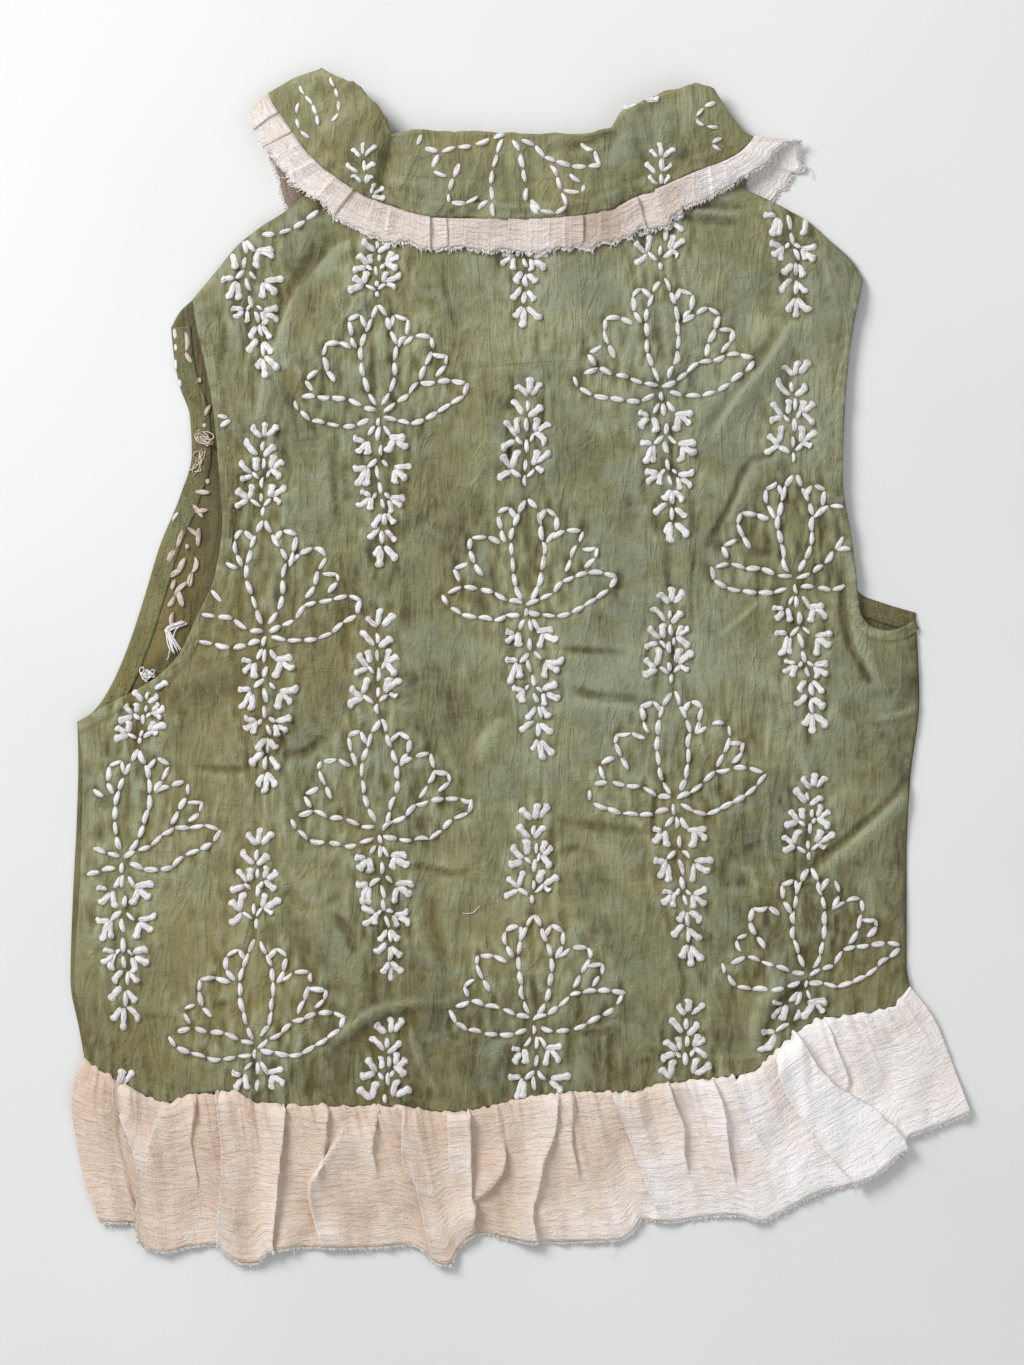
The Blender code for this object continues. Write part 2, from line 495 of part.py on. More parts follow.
def add_fronts(material, collection):
    hem = hem_line()
    centre = -CENTRE_GAP
    left_hem = hem[hem[:, 0] < centre - OUTLINE_STEP / 2]
    right_hem = hem[:-1][hem[:-1, 0] > -centre + OUTLINE_STEP / 2]
    hem_y = np.interp(0.0, hem[:, 0], hem[:, 1])
    neck_y = neckline(0, 1)[0, 1] - 0.0008
    left = np.concatenate([
        edge_points(SHOULDER_LEFT), edge_points(FRONT_TIP_LEFT), edge_points(FRONT_ARMHOLE_LEFT),
        edge_points(FRONT_SIDE_LEFT), left_hem, [(centre, hem_y), (centre, neck_y)],
        neckline(0, LEFT_TURN - 1)])
    right_neck = neckline(RIGHT_TURN + 1, len(COLLAR_SECTIONS) - 1)
    right = np.concatenate([
        [(-centre, hem_y)], right_hem, edge_points(FRONT_SIDE_RIGHT), edge_points(FRONT_ARMHOLE_RIGHT),
        edge_points(SHOULDER_RIGHT), right_neck, [(-centre, neck_y)]])
    add_panel("front_left", left, FRONT_CELL, front_height, WALL, material, collection)
    add_panel("front_right", right, FRONT_CELL, front_height, WALL, material, collection)


def add_collar(material, collection):
    places, _ = collar_places()

    def place(u, v):
        return collar_point(on_line(places[:, None], u)[:, 0], on_line(ACROSS_COLUMNS, v)[:, 0])
    rows = len(ACROSS_COLUMNS) - 1
    return add_strip("collar", len(places) - 1, rows, place, WALL, material, collection)


def add_collar_frill(material, collection):
    columns = len(collar_frill_columns()) - 1
    return add_strip("collar_frill", columns, 2, collar_frill_point, WALL, material, collection)


def add_front_frills(material, collection):
    """The hem frill of each front lies flat under the back's frill, a little inside its outline."""
    inset = 0.0035
    middle = 0.5
    for name, first, last in (("hem_frill_left", 0.0, middle), ("hem_frill_right", middle, 1.0)):
        def place(u, v, first=first, last=last):
            s = first + (last - first) * u
            flat = hem_frill_point(s, v)[:, :2]
            seam = on_line(hem_line(), s)
            reach = 1 - inset / np.linalg.norm(along(FRILL_EDGE, s) - seam, axis=1)
            flat = seam + (flat - seam) * reach[:, None]
            side = CENTRE_GAP / 2 if first == middle else -CENTRE_GAP / 2
            flat[:, 0] += side * (1 - np.abs(2 * s - 1)) * 2
            return np.column_stack([flat, np.full(len(u), WALL / 2)])
        add_strip(name, HEM_PARTS // 2, 3, place, WALL, material, collection)


def add_facing(name, armhole, inwards, material, collection):
    """The bias facing sewn inside a front's armhole, on the front's inner side."""
    def place(u, v):
        edge = along(armhole, 0.015 + 0.97 * u)
        ahead = along(armhole, 0.015 + 0.97 * u + 0.004) - along(armhole, 0.015 + 0.97 * u - 0.004)
        ahead /= np.linalg.norm(ahead, axis=1)[:, None]
        across = np.stack([-ahead[:, 1], ahead[:, 0]], axis=1) * inwards
        flat = edge + across * (0.0008 + FACING_WIDTH * v)[:, None]
        height = front_height(flat[:, 0], flat[:, 1]) + WALL / 2 + SEAM_GAP + FACING_WALL / 2
        return np.column_stack([flat, height])
    return add_strip(name, 30, 2, place, FACING_WALL, material, collection)


def add_patch(material, collection):
    """The patch sewn under the back of the neck."""
    def height(x, y):
        return back_height(x, y) - WALL / 2 - SEAM_GAP - FACING_WALL / 2
    outline = [(x, y) for x, y in PATCH_CORNERS]
    return add_panel("neck_patch", outline, PATCH_CELL, height, FACING_WALL, material, collection)


def main():
    clear_scene()
    waistcoat = bpy.data.collections.new("Embroidered waistcoat")
    bpy.context.scene.collection.children.link(waistcoat)
    green = cloth_material("overdyed green cotton", GREEN, 0.85)
    inside = cloth_material("inside of the green cotton", GREEN_INSIDE, 0.9)
    cream = cloth_material("cream muslin", CREAM, 0.9)
    add_back(green, waistcoat)
    add_fronts(green, waistcoat)
    add_collar(green, waistcoat)
    add_collar_frill(cream, waistcoat)
    add_strip("hem_frill_back", HEM_PARTS * 3, 5, hem_frill_point, WALL, cream, waistcoat)
    add_front_frills(cream, waistcoat)
    add_facing("armhole_facing_left", FRONT_ARMHOLE_LEFT, 1, inside, waistcoat)
    add_facing("armhole_facing_right", FRONT_ARMHOLE_RIGHT, 1, inside, waistcoat)
    add_patch(green, waistcoat)


main()
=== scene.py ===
"""An embroidered cotton waistcoat, laid flat face down with its back uppermost, for the render.

Cloth is made as fine sheets over the part's solids. Lengths in the tables are in millimetres:
x runs to the right of the back, y towards the neck, and z up from the surface it lies on.
"""
import functools
import math

import bmesh
import bpy
import numpy as np
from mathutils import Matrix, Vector
from mathutils.bvhtree import BVHTree
from mathutils.geometry import delaunay_2d_cdt


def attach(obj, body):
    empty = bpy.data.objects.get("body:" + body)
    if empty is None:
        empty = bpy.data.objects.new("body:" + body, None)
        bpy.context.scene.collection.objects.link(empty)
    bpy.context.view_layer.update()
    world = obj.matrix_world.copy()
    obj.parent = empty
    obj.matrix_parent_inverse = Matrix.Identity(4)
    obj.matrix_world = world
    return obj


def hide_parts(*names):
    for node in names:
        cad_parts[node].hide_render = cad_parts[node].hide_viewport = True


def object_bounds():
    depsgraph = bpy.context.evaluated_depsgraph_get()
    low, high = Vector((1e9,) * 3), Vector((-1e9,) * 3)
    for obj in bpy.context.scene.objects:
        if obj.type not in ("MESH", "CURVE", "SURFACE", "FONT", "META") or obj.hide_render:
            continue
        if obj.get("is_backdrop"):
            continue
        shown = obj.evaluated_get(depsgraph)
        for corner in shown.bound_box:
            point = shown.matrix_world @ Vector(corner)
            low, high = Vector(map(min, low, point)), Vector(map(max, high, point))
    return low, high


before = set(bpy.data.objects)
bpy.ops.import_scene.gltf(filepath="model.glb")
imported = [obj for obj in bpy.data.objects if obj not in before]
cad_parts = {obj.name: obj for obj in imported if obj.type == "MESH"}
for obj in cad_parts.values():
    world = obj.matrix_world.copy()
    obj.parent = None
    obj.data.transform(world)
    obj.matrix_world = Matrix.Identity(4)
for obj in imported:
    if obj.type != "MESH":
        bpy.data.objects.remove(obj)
cad_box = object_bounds()


# Camera, floor and light: the garment lies on a pale studio floor and is seen from straight above,
# in soft daylight from a large window at the top left with a weak fill from the room.
camera = bpy.data.objects.new("camera", bpy.data.cameras.new("camera"))
bpy.context.scene.collection.objects.link(camera)
bpy.context.scene.camera = camera
camera_height = 2.5
picture_height = 0.7508
picture_middle = (-0.005, -0.0094)
camera.location = (*picture_middle, camera_height)
camera.data.sensor_fit = "VERTICAL"
camera.data.sensor_height = 36.0
camera.data.lens = camera.data.sensor_height * camera_height / picture_height
camera.data.clip_start = 0.05

floor_reach, floor_drop = 3.0, 0.0002
floor_bm = bmesh.new()
bmesh.ops.create_grid(floor_bm, x_segments=1, y_segments=1, size=floor_reach)
floor_mesh = bpy.data.meshes.new("floor")
bmesh.ops.translate(floor_bm, verts=floor_bm.verts, vec=(0.0, 0.0, -floor_drop))
floor_bm.to_mesh(floor_mesh)
floor = bpy.data.objects.new("floor", floor_mesh)
bpy.context.scene.collection.objects.link(floor)
floor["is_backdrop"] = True

for name, location, size, power in (
        ("window", (-1.5, 1.3, 1.5), 1.1, 56.0), ("room", (1.6, -0.8, 1.8), 2.2, 10.0)):
    lamp = bpy.data.objects.new(name, bpy.data.lights.new(name, "AREA"))
    lamp.data.size = size
    lamp.data.energy = power
    lamp.location = location
    lamp.rotation_euler = (-Vector(location)).to_track_quat("-Z", "Y").to_euler()
    bpy.context.scene.collection.objects.link(lamp)
sky = bpy.data.worlds.new("sky")
bpy.context.scene.world = sky
sky.use_nodes = True
background = sky.node_tree.nodes["Background"]
background.inputs["Color"].default_value = (0.94, 0.97, 1.0, 1.0)
background.inputs["Strength"].default_value = 0.44
bpy.context.scene.view_settings.view_transform = "Standard"


# Cloth materials: fine cotton, overdyed green over a cream ground so that the dye lies in streaks and
# patches, soft cream muslin with a crinkled weft, and thick soft embroidery cotton.
class Shade:
    """A shader socket that adds, subtracts and multiplies like a number."""

    def __init__(self, tree, socket=None):
        self.tree = tree
        self.socket = socket

    def node(self, kind, settings, inputs, output=0):
        node = self.tree.nodes.new(kind)
        for key, value in settings.items():
            setattr(node, key, value)
        for key, value in inputs.items():
            if isinstance(value, Shade):
                self.tree.links.new(value.socket, node.inputs[key])
            else:
                node.inputs[key].default_value = value
        return Shade(self.tree, node.outputs[output])

    def math(self, operation, a, b=0.0):
        return self.node("ShaderNodeMath", {"operation": operation}, {0: a, 1: b})

    def __add__(self, other):
        return self.math("ADD", self, other)

    def __mul__(self, other):
        return self.math("MULTIPLY", self, other)

    def __sub__(self, other):
        return self.math("SUBTRACT", self, other)

    def __rsub__(self, other):
        return self.math("SUBTRACT", other, self)

    def attribute(self, name, output="Fac"):
        """A value that a piece keeps at each of its points."""
        return self.node("ShaderNodeAttribute", {"attribute_name": name}, {}, output)

    def place(self):
        """Places on the object itself, in metres."""
        return self.node("ShaderNodeTexCoord", {}, {}, "Object")

    def clipped(self):
        return self.math("MINIMUM", self.math("MAXIMUM", self, 0.0), 1.0)

    def stretched(self, scale):
        return self.node("ShaderNodeVectorMath", {"operation": "MULTIPLY"}, {0: self, 1: scale})

    def noise(self, scale, detail=2.0, roughness=0.5, distortion=0.0):
        return self.node("ShaderNodeTexNoise", {}, {"Vector": self, "Scale": scale, "Detail": detail,
                                                    "Roughness": roughness, "Distortion": distortion})

    def between(self, low, high):
        """0 where this is low and 1 where it is high, smoothly."""
        settings = {"interpolation_type": "SMOOTHSTEP"}
        return self.node("ShaderNodeMapRange", settings, {"Value": self, "From Min": low, "From Max": high})

    def pinched(self, sharpness):
        """1 along the lines where a noise crosses its middle, falling off at both sides."""
        return (1.0 - self.math("ABSOLUTE", self - 0.5) * sharpness).clipped()

    def mix(self, a, b):
        """Colour a where this is 0, colour b where it is 1, plain ones as a screen shows them, 0 to 255."""
        node = self.tree.nodes.new("ShaderNodeMix")
        node.data_type = "RGBA"
        self.tree.links.new(self.socket, node.inputs["Factor"])
        colour_inputs = [socket for socket in node.inputs if socket.type == "RGBA"]
        for socket, value in zip(colour_inputs, (a, b)):
            if isinstance(value, Shade):
                self.tree.links.new(value.socket, socket)
            else:
                socket.default_value = colour(*value)
        colour_output = [socket for socket in node.outputs if socket.type == "RGBA"][0]
        return Shade(self.tree, colour_output)


def colour(red, green, blue):
    """A colour as a screen shows it, 0 to 255, as the shader wants it."""
    parts = [c / 255.0 for c in (red, green, blue)]
    return [c / 12.92 if c < 0.04045 else ((c + 0.055) / 1.055) ** 2.4 for c in parts] + [1.0]


def new_material(name, roughness, sheen):
    """A material with its shade tree and its shader."""
    material = bpy.data.materials.new(name)
    material.use_nodes = True
    tree = material.node_tree
    shader = tree.nodes["Principled BSDF"]
    shader.inputs["Roughness"].default_value = roughness
    shader.inputs["Sheen Weight"].default_value = sheen
    shader.inputs["Sheen Roughness"].default_value = 0.6
    shader.inputs["Specular IOR Level"].default_value = 0.25
    return material, Shade(tree), shader


def finish_material(shade, shader, base, height, distance):
    """Joins a material's colour and its fine relief, this deep in metres, to its shader."""
    shade.tree.links.new(base.socket, shader.inputs["Base Color"])
    bump = shade.node("ShaderNodeBump", {}, {"Height": height, "Distance": distance, "Strength": 1.0})
    shade.tree.links.new(bump.socket, shader.inputs["Normal"])


def green_cotton(name, light, mid, dark, blue):
    """Overdyed cotton: broad patches and fine streaks of the dye, darkened by painted shade in hollows,
    beside the stitches and under the back's edges.

    Each noise runs over places in metres, with its scale, detail, roughness and distortion."""
    material, shade, shader = new_material(name, 0.88, 0.12)
    place = shade.place()
    tone, warm, painted_shade = (shade.attribute(name) for name in ("tone", "warm", "painted_shade"))
    patches = place.stretched((1.0, 0.75, 1.0)).noise(30.0, 5.0, 0.62, 0.9)
    drifts = place.stretched((1.0, 0.4, 1.0)).noise(90.0, 4.0, 0.65, 0.5)
    streaks = place.stretched((1.0, 0.09, 1.0)).noise(560.0, 3.0, 0.7)
    weft = place.stretched((0.12, 1.0, 1.0)).noise(640.0, 2.0, 0.6)
    level = (patches - 0.5) * 1.5 + (drifts - 0.5) * 0.9 + (streaks - 0.5) * 0.9
    level = level + (weft - 0.5) * 0.2 + tone * 1.35
    base = level.between(-0.55, 0.1).mix(dark, mid)
    base = level.between(0.02, 0.62).mix(base, light)
    cool = place.stretched((0.8, 1.2, 1.0)).noise(42.0, 4.0, 0.6, 0.6) - warm * 0.3
    base = (cool.between(0.45, 0.64) * 0.55).mix(base, blue)
    brown = (warm + (patches - 0.5) * 1.2 + (drifts - 0.5) * 0.6).between(0.0, 1.0)
    base = (brown * 0.68).mix(base, (130, 114, 60))
    # Painted shade: darker in the cloth's hollows, beside the stitches and under the back's edges
    base = (painted_shade * 0.6).mix(base, dark)
    # The relief: crepe and soft unevenness, and fine pinches that run up the cloth and across it
    crepe = place.stretched((1.0, 0.6, 1.0)).noise(360.0, 4.0, 0.65, 0.4)
    soft = place.stretched((1.0, 0.7, 1.0)).noise(95.0, 3.0, 0.55)
    pinched = place.stretched((1.0, 0.3, 1.0)).noise(80.0, 3.0, 0.6, 1.1).pinched(9.0)
    crossing = place.stretched((0.5, 1.0, 1.0)).noise(88.0, 3.0, 0.6, 1.3).pinched(11.0)
    # Painted highlight along the ridges of the fine pinches
    base = (pinched * 0.24 + crossing * 0.08).mix(base, light)
    height = crepe * 0.5 + soft * 0.7 + streaks * 0.25 + weft * 0.1 + pinched * 0.36 + crossing * 0.12
    finish_material(shade, shader, base, height, 0.0013)
    return material


green_outside = green_cotton("green_cotton", (156, 157, 124), (121, 119, 84), (76, 69, 40), (134, 141, 120))
green_inside = green_cotton("green_cotton_inside", (128, 124, 92), (106, 101, 68), (72, 66, 40),
                            (100, 104, 84))


def muslin(name, light, mid, dark, crinkle):
    """Loose cream muslin whose weft crinkles along the strip; its cloth attribute runs in metres."""
    material, shade, shader = new_material(name, 0.9, 0.15)
    cloth, tone = shade.attribute("cloth", "Vector"), shade.attribute("tone")
    waves = cloth.stretched((0.2, 1.0, 1.0)).noise(430.0, 3.0, 0.62, 0.5)
    threads = cloth.stretched((1.0, 0.05, 1.0)).noise(900.0, 2.0, 0.6)
    stains = cloth.noise(22.0, 3.0, 0.55)
    grains = cloth.stretched((0.4, 1.0, 1.0)).noise(1200.0, 2.0, 0.6)
    level = (waves - 0.5) * 0.46 + (threads - 0.5) * 0.25 + (stains - 0.5) * 0.9 + tone
    base = level.between(-0.5, 0.15).mix(dark, mid)
    base = level.between(0.0, 0.7).mix(base, light)
    # Painted shade: where tone falls far below 0, as on the collar frill's tucked end, the muslin turns dark
    # brown-grey
    base = (tone * -1.0).between(0.6, 1.3).mix(base, (116, 102, 80))
    height = waves * crinkle + threads * 0.25 + grains * 0.25
    finish_material(shade, shader, base, height, 0.0021)
    return material


hem_muslin = muslin("hem_muslin", (252, 247, 245), (229, 208, 190), (196, 163, 136), 0.66)
collar_muslin = muslin("collar_muslin", (243, 236, 232), (224, 210, 200), (186, 164, 146), 0.9)

# The floor's paint: pale grey and faintly uneven
floor_material, shade, shader = new_material("floor", 0.8, 0.0)
place = shade.place()
floor_colour = place.noise(3.0, 3.0, 0.5).between(0.3, 0.7).mix((226, 226, 224), (232, 232, 231))
finish_material(shade, shader, floor_colour, place.noise(900.0), 0.00005)
floor.data.materials.append(floor_material)


# How the cloth lies: heights on a raster over the whole garment, one value to each square millimetre.
# The fronts lie on the surface, raised over the collar's under layer, and the back lies on them with
# air below it. Folds are soft ridges and troughs, each with its own length, height and width.
WEST, SOUTH, COLUMNS, ROWS = -264.0, -264.0, 529, 612
grid_x, grid_y = np.meshgrid(np.arange(COLUMNS) + WEST, np.arange(ROWS) + SOUTH)


def at(field, x, y):
    """A raster's value at any place, between its points."""
    fx = np.clip(np.asarray(x) - WEST, 0, COLUMNS - 1.001)
    fy = np.clip(np.asarray(y) - SOUTH, 0, ROWS - 1.001)
    i, j = fx.astype(int), fy.astype(int)
    a, b = fx - i, fy - j
    return ((field[j, i] * (1 - a) + field[j, i + 1] * a) * (1 - b)
            + (field[j + 1, i] * (1 - a) + field[j + 1, i + 1] * a) * b)


def along(points, places):
    """Points of a smooth curve through these points, at these places from 0 to 1 along it."""
    points = np.asarray(points, float)
    steps = np.linalg.norm(np.diff(points[:, :2], axis=0), axis=1)
    knots = np.concatenate([[0.0], np.cumsum(np.maximum(steps, 1e-6))])
    rates = np.diff(points, axis=0) / np.diff(knots)[:, None]
    before, after = rates[:-1], rates[1:]
    sums = np.where(before + after == 0, 1, before + after)
    middle = np.where(before * after > 0, 2 * before * after / sums, 0)
    slopes = np.concatenate([rates[:1], middle, rates[-1:]])
    where = np.clip(np.asarray(places, float), 0.0, 1.0) * knots[-1]
    i = np.clip(np.searchsorted(knots, where, side="right") - 1, 0, len(knots) - 2)
    span = (knots[i + 1] - knots[i])[:, None]
    t = (where - knots[i])[:, None] / span
    return ((1 + 2 * t) * (1 - t) ** 2 * points[i] + t * (1 - t) ** 2 * span * slopes[i]
            + t * t * (3 - 2 * t) * points[i + 1] + t * t * (t - 1) * span * slopes[i + 1])


def length_of(line):
    """Length of a line of points."""
    return np.linalg.norm(np.diff(np.asarray(line, float), axis=0), axis=1).sum()


def curve(points, step):
    """A smooth curve through these points as a line of points this far apart."""
    count = max(2, math.ceil(length_of(points) / step))
    return along(points, np.arange(count + 1) / count)


def smoothstep(t):
    """0 up to 0, 1 from 1 on, and a smooth rise between them."""
    t = np.clip(t, 0.0, 1.0)
    return t * t * (3 - 2 * t)


def unit(directions):
    """Directions brought to a length of 1."""
    return directions / np.maximum(np.linalg.norm(directions, axis=-1, keepdims=True), 1e-9)


def leftwards(directions):
    """Flat directions turned a quarter to the left."""
    return np.column_stack([-directions[:, 1], directions[:, 0]])


def gap_to(x, y, line):
    """Distance from a line of points, which side of it, positive on the left, and the place along it."""
    best = np.full(np.shape(x), 1e9)
    side = np.zeros(np.shape(x))
    place = np.zeros(np.shape(x))
    count = len(line) - 1
    for k in range(count):
        a, run = line[k], line[k + 1] - line[k]
        rx, ry = x - a[0], y - a[1]
        t = np.clip((rx * run[0] + ry * run[1]) / (run @ run), 0, 1)
        d = np.hypot(rx - t * run[0], ry - t * run[1])
        nearer = d < best
        side = np.where(nearer, np.sign(run[0] * ry - run[1] * rx), side)
        place = np.where(nearer, (k + t) / count, place)
        best = np.minimum(best, d)
    return best, side, place


def gap_to_nearest(lines, step):
    """Distance of each of the raster's points from the nearest of these lines."""
    return np.min([gap_to(grid_x, grid_y, curve(line, step))[0] for line in lines], axis=0)


def add_fold(field, line, rise, width, lean=1.0):
    """A ridge, or a trough where rise is negative, that fades towards its ends. lean over 1 makes its left
    side the gentle one."""
    line = curve(line, 12.0) if len(line) > 2 else np.asarray(line, float)
    reach = 3.2 * width * max(lean, 1 / lean)
    i0, j0 = (np.clip(line.min(axis=0) - reach - (WEST, SOUTH), 0, None)).astype(int)
    i1, j1 = (line.max(axis=0) + reach - (WEST, SOUTH)).astype(int) + 1
    x, y = grid_x[j0:j1, i0:i1], grid_y[j0:j1, i0:i1]
    d, side, place = gap_to(x, y, line)
    span = width * np.where(side > 0, lean, 1 / lean)
    fading = 0.35 + 0.65 * np.sin(math.pi * place) ** 0.7
    field[j0:j1, i0:i1] += rise * np.exp(-((d / span) ** 2)) * fading


def add_folds(field, table, strength=1.0):
    """All folds of a table, with their heights times this strength."""
    for line, rise, *shape in table:
        add_fold(field, line, strength * rise, *shape)


def frequencies(shape):
    """Waves to each step of a grid, along its first and second side."""
    return np.fft.fftfreq(shape[0])[:, None], np.fft.rfftfreq(shape[1])[None, :]


def ripples(seed, shape, first, second, tilt=0.0):
    """An even field of random waves on a grid, about this long along its first and second side, with a
    spread of 1."""
    waves = np.fft.rfft2(np.random.default_rng(seed).standard_normal(shape))
    fu, fv = frequencies(shape)
    gu = fu * math.cos(tilt) - fv * math.sin(tilt)
    gv = fv * math.cos(tilt) + fu * math.sin(tilt)
    field = np.fft.irfft2(waves * np.exp(-((gu * first) ** 2 + (gv * second) ** 2) * 2), s=shape)
    return (field - field.mean()) / field.std()


def crumple(seed, across, up, tilt=0.0):
    """Such waves over the whole raster, about this long across and up."""
    return ripples(seed, (ROWS, COLUMNS), up, across, tilt)


def blurred(field, spread):
    """A raster softened with a bell of this half-width."""
    fy, fx = frequencies((ROWS, COLUMNS))
    bell = np.exp(-2 * (math.pi * spread) ** 2 * (fx ** 2 + fy ** 2))
    return np.fft.irfft2(np.fft.rfft2(field) * bell, s=(ROWS, COLUMNS))


SHOULDER_LEFT = ((-103.8, 273.2), (-130, 249), (-142, 241.5), (-155, 231.5), (-168, 216), (-180.5, 201))
BACK_ARMHOLE_LEFT = ((-180.5, 201), (-178.5, 188), (-173, 163), (-168, 132), (-166, 106), (-164, 80),
                     (-168, 50), (-178, 27), (-188, 6), (-201, -7), (-228, -22), (-244, -31))
BACK_SIDE_LEFT = ((-244, -31), (-241, -55), (-241.5, -89), (-243, -129), (-245.5, -173), (-241, -200),
                  (-240, -216.5))
HEM = ((-240, -216.5), (-229, -225), (-207, -236), (-196, -240.5), (-178, -236), (-157, -234.5),
       (-143.5, -241), (-103, -242.5), (-67, -242.5), (-41, -246), (-17, -242.5), (6, -237.5), (30, -235),
       (58, -235), (81, -230), (109, -227), (126.5, -224), (139, -213), (150, -203), (166, -194),
       (190, -192), (205, -187), (214, -177))
BACK_SIDE_RIGHT = ((214, -177), (211, -165), (211, -107), (213, -63), (218, -19), (217, 26))
BACK_ARMHOLE_RIGHT = ((217, 26), (210, 21.5), (202, 19), (193, 21), (186, 30), (184, 50), (181.5, 70),
                      (176.5, 103), (178, 146), (181.5, 180), (188, 212))
SHOULDER_RIGHT = ((188, 212), (182, 222), (169, 234), (157, 244.5), (146, 250.5), (120, 263), (101, 273.5))
NECK_BACK = ((101, 273.5), (89, 268), (73, 263.4), (50, 258.5), (30, 257), (0, 256.5), (-45, 258),
             (-72, 261), (-89, 266), (-103.8, 273.2))

# The under collar's outer edge, the same at both sides, and how it lifts the fronts over a slope before it
FRONT_REST, COLLAR_LIFT, SLOPE_WIDTH = 0.6, 2.6, 28
bed_edge = np.interp(np.abs(grid_x), (0, 73, 121, 143, 157, 200), (112, 158, 208, 248, 300, 450))
front_lie = FRONT_REST + COLLAR_LIFT * smoothstep((grid_y - bed_edge) / SLOPE_WIDTH + 1)

# The back's large folds: their line, height, where a trough is negative, and half-width
BACK_FOLDS = (
    (((-104, 237), (-137, 176)), -2.2, 11),
    (((-88, 226), (-124, 158)), 3.0, 13),
    (((147, 189), (105, 128)), 3.0, 12),
    (((120, 104), (104, 66)), 2.4, 11),
    (((178, 30), (193, -14)), -2.0, 10),
    (((-177, -22), (-153, -74)), 3.0, 15),
    (((-140, -52), (-106, -40)), -2.2, 11),
    (((-102, -136), (-83, -200)), 2.8, 12),
    (((-66, -188), (52, -202)), -2.2, 15),
    (((-40, -166), (60, -176)), 1.6, 14),
    (((147, -172), (134, -218)), 3.6, 11),
    (((-222, -120), (-218, -196)), 2.2, 14),
    (((30, 60), (24, -20)), 1.6, 16),
)
# The back's height over the fronts at the seams and farther in, and the width over which it rises
AIR_AT_SEAMS, AIR_INSIDE, RISING_WIDTH, DEEPEST = 1.8, 3.0, 14, -2.4
folds = np.zeros((ROWS, COLUMNS))
add_folds(folds, BACK_FOLDS)
seam_gap = gap_to_nearest((SHOULDER_LEFT, BACK_SIDE_LEFT, BACK_SIDE_RIGHT, SHOULDER_RIGHT), 10.0)
loft_share = 1 - (1 - np.clip(seam_gap / RISING_WIDTH, 0, 1)) ** 2
back_lie = front_lie + AIR_AT_SEAMS + loft_share * (AIR_INSIDE + np.maximum(folds, DEEPEST))


# Embroidery plan: one lotus sprig, worked over the whole back in columns half a repeat apart, with its
# petals and leaves in running stitches along these lines, and stems and bars as single stitches.
MIDDLE_PETAL = ((2, 3.5), (6, 11), (8.5, 21), (9, 30), (9, 38.5), (6.5, 47), (3, 55), (0.5, 59.5))
EAR = ((6, 47), (7, 51), (11.5, 54), (16.5, 50.5), (16, 44), (14.5, 38.5), (11.5, 35))
SPRIG_LINES = (
    MIDDLE_PETAL,
    tuple((-x, y) for x, y in MIDDLE_PETAL),
    EAR,
    tuple((-x, y) for x, y in EAR),
    ((12, 36), (18.5, 40.5), (26, 42.5), (31, 38.5), (28.5, 31.5), (26.5, 25), (22, 17)),
    ((-15, 34), (-22, 37.5), (-29, 37), (-33.5, 35), (-31, 28.5), (-28.5, 22), (-25.5, 16)),
    ((29.5, 31), (33.5, 31), (39.5, 31), (38.5, 26.5), (35, 23), (32, 20)),
    ((-32.5, 23), (-38.5, 21), (-41, 17), (-38, 13), (-37, 11.5)),
    ((0, 0), (6, 3), (11.5, 5.5), (17.5, 11), (22, 16), (26, 15.5), (34, 17), (44.5, 18), (50, 16)),
    ((-2, 1), (-6, 1), (-13, 3.5), (-20, 6.5), (-26.5, 8), (-33.5, 10), (-44.5, 7.5)),
    ((50, 16), (47.5, 10), (40.5, 5), (34, 0.5), (26.5, -4), (17, -6), (9.5, -5), (2, -3)),
    ((-48, 6.5), (-48.5, 3), (-44, -1), (-40, -4.5), (-32.5, -6), (-23.5, -7.5), (-16.5, -9), (-9.5, -6),
     (-3.5, -4.5)),
)
# Heights in the plan of the petals' and the spire's tops and of the tail's end
PETAL_TOP, SPIRE_TOP, TAIL_END = 59.5, 120.5, -88.5
# Short stems, and long bars with a knot worked at their far end, up the spire and down the tail
STEMS = (
    (-1, 64.5, -1, 70), (-1, 72.5, -1, 78), (-0.2, 81.8, -0.2, 89.2), (0.6, 92.8, 0.6, 99),
    (0, 103.5, 0, 109.7), (-2.5, 69.8, -7.6, 73.9), (0.6, 70.8, 4.7, 75.3), (-2.5, 86.6, -5.9, 90),
    (1.7, 87.7, 3.7, 91.8), (-0.5, -2.5, -0.5, -7.5), (-2.1, -9.2, -5.4, -14.5), (-0.2, -8.8, -0.1, -15.6),
    (2.2, -9.2, 5.9, -15.2), (1, -19, 0.3, -25.5), (-0.5, -27, -5.8, -31.9), (2.2, -27.3, 5.9, -31.5),
    (-0.9, -30.7, 1, -38.7), (0.3, -40.6, 1.3, -47.4), (-0.5, -46.2, -2.6, -49), (2.9, -46.2, 5.9, -48.8),
    (1.4, -50.2, 3.1, -56.2), (3.3, -58, 3.7, -65.6), (2.8, -67.4, 2.8, -75.4),
)
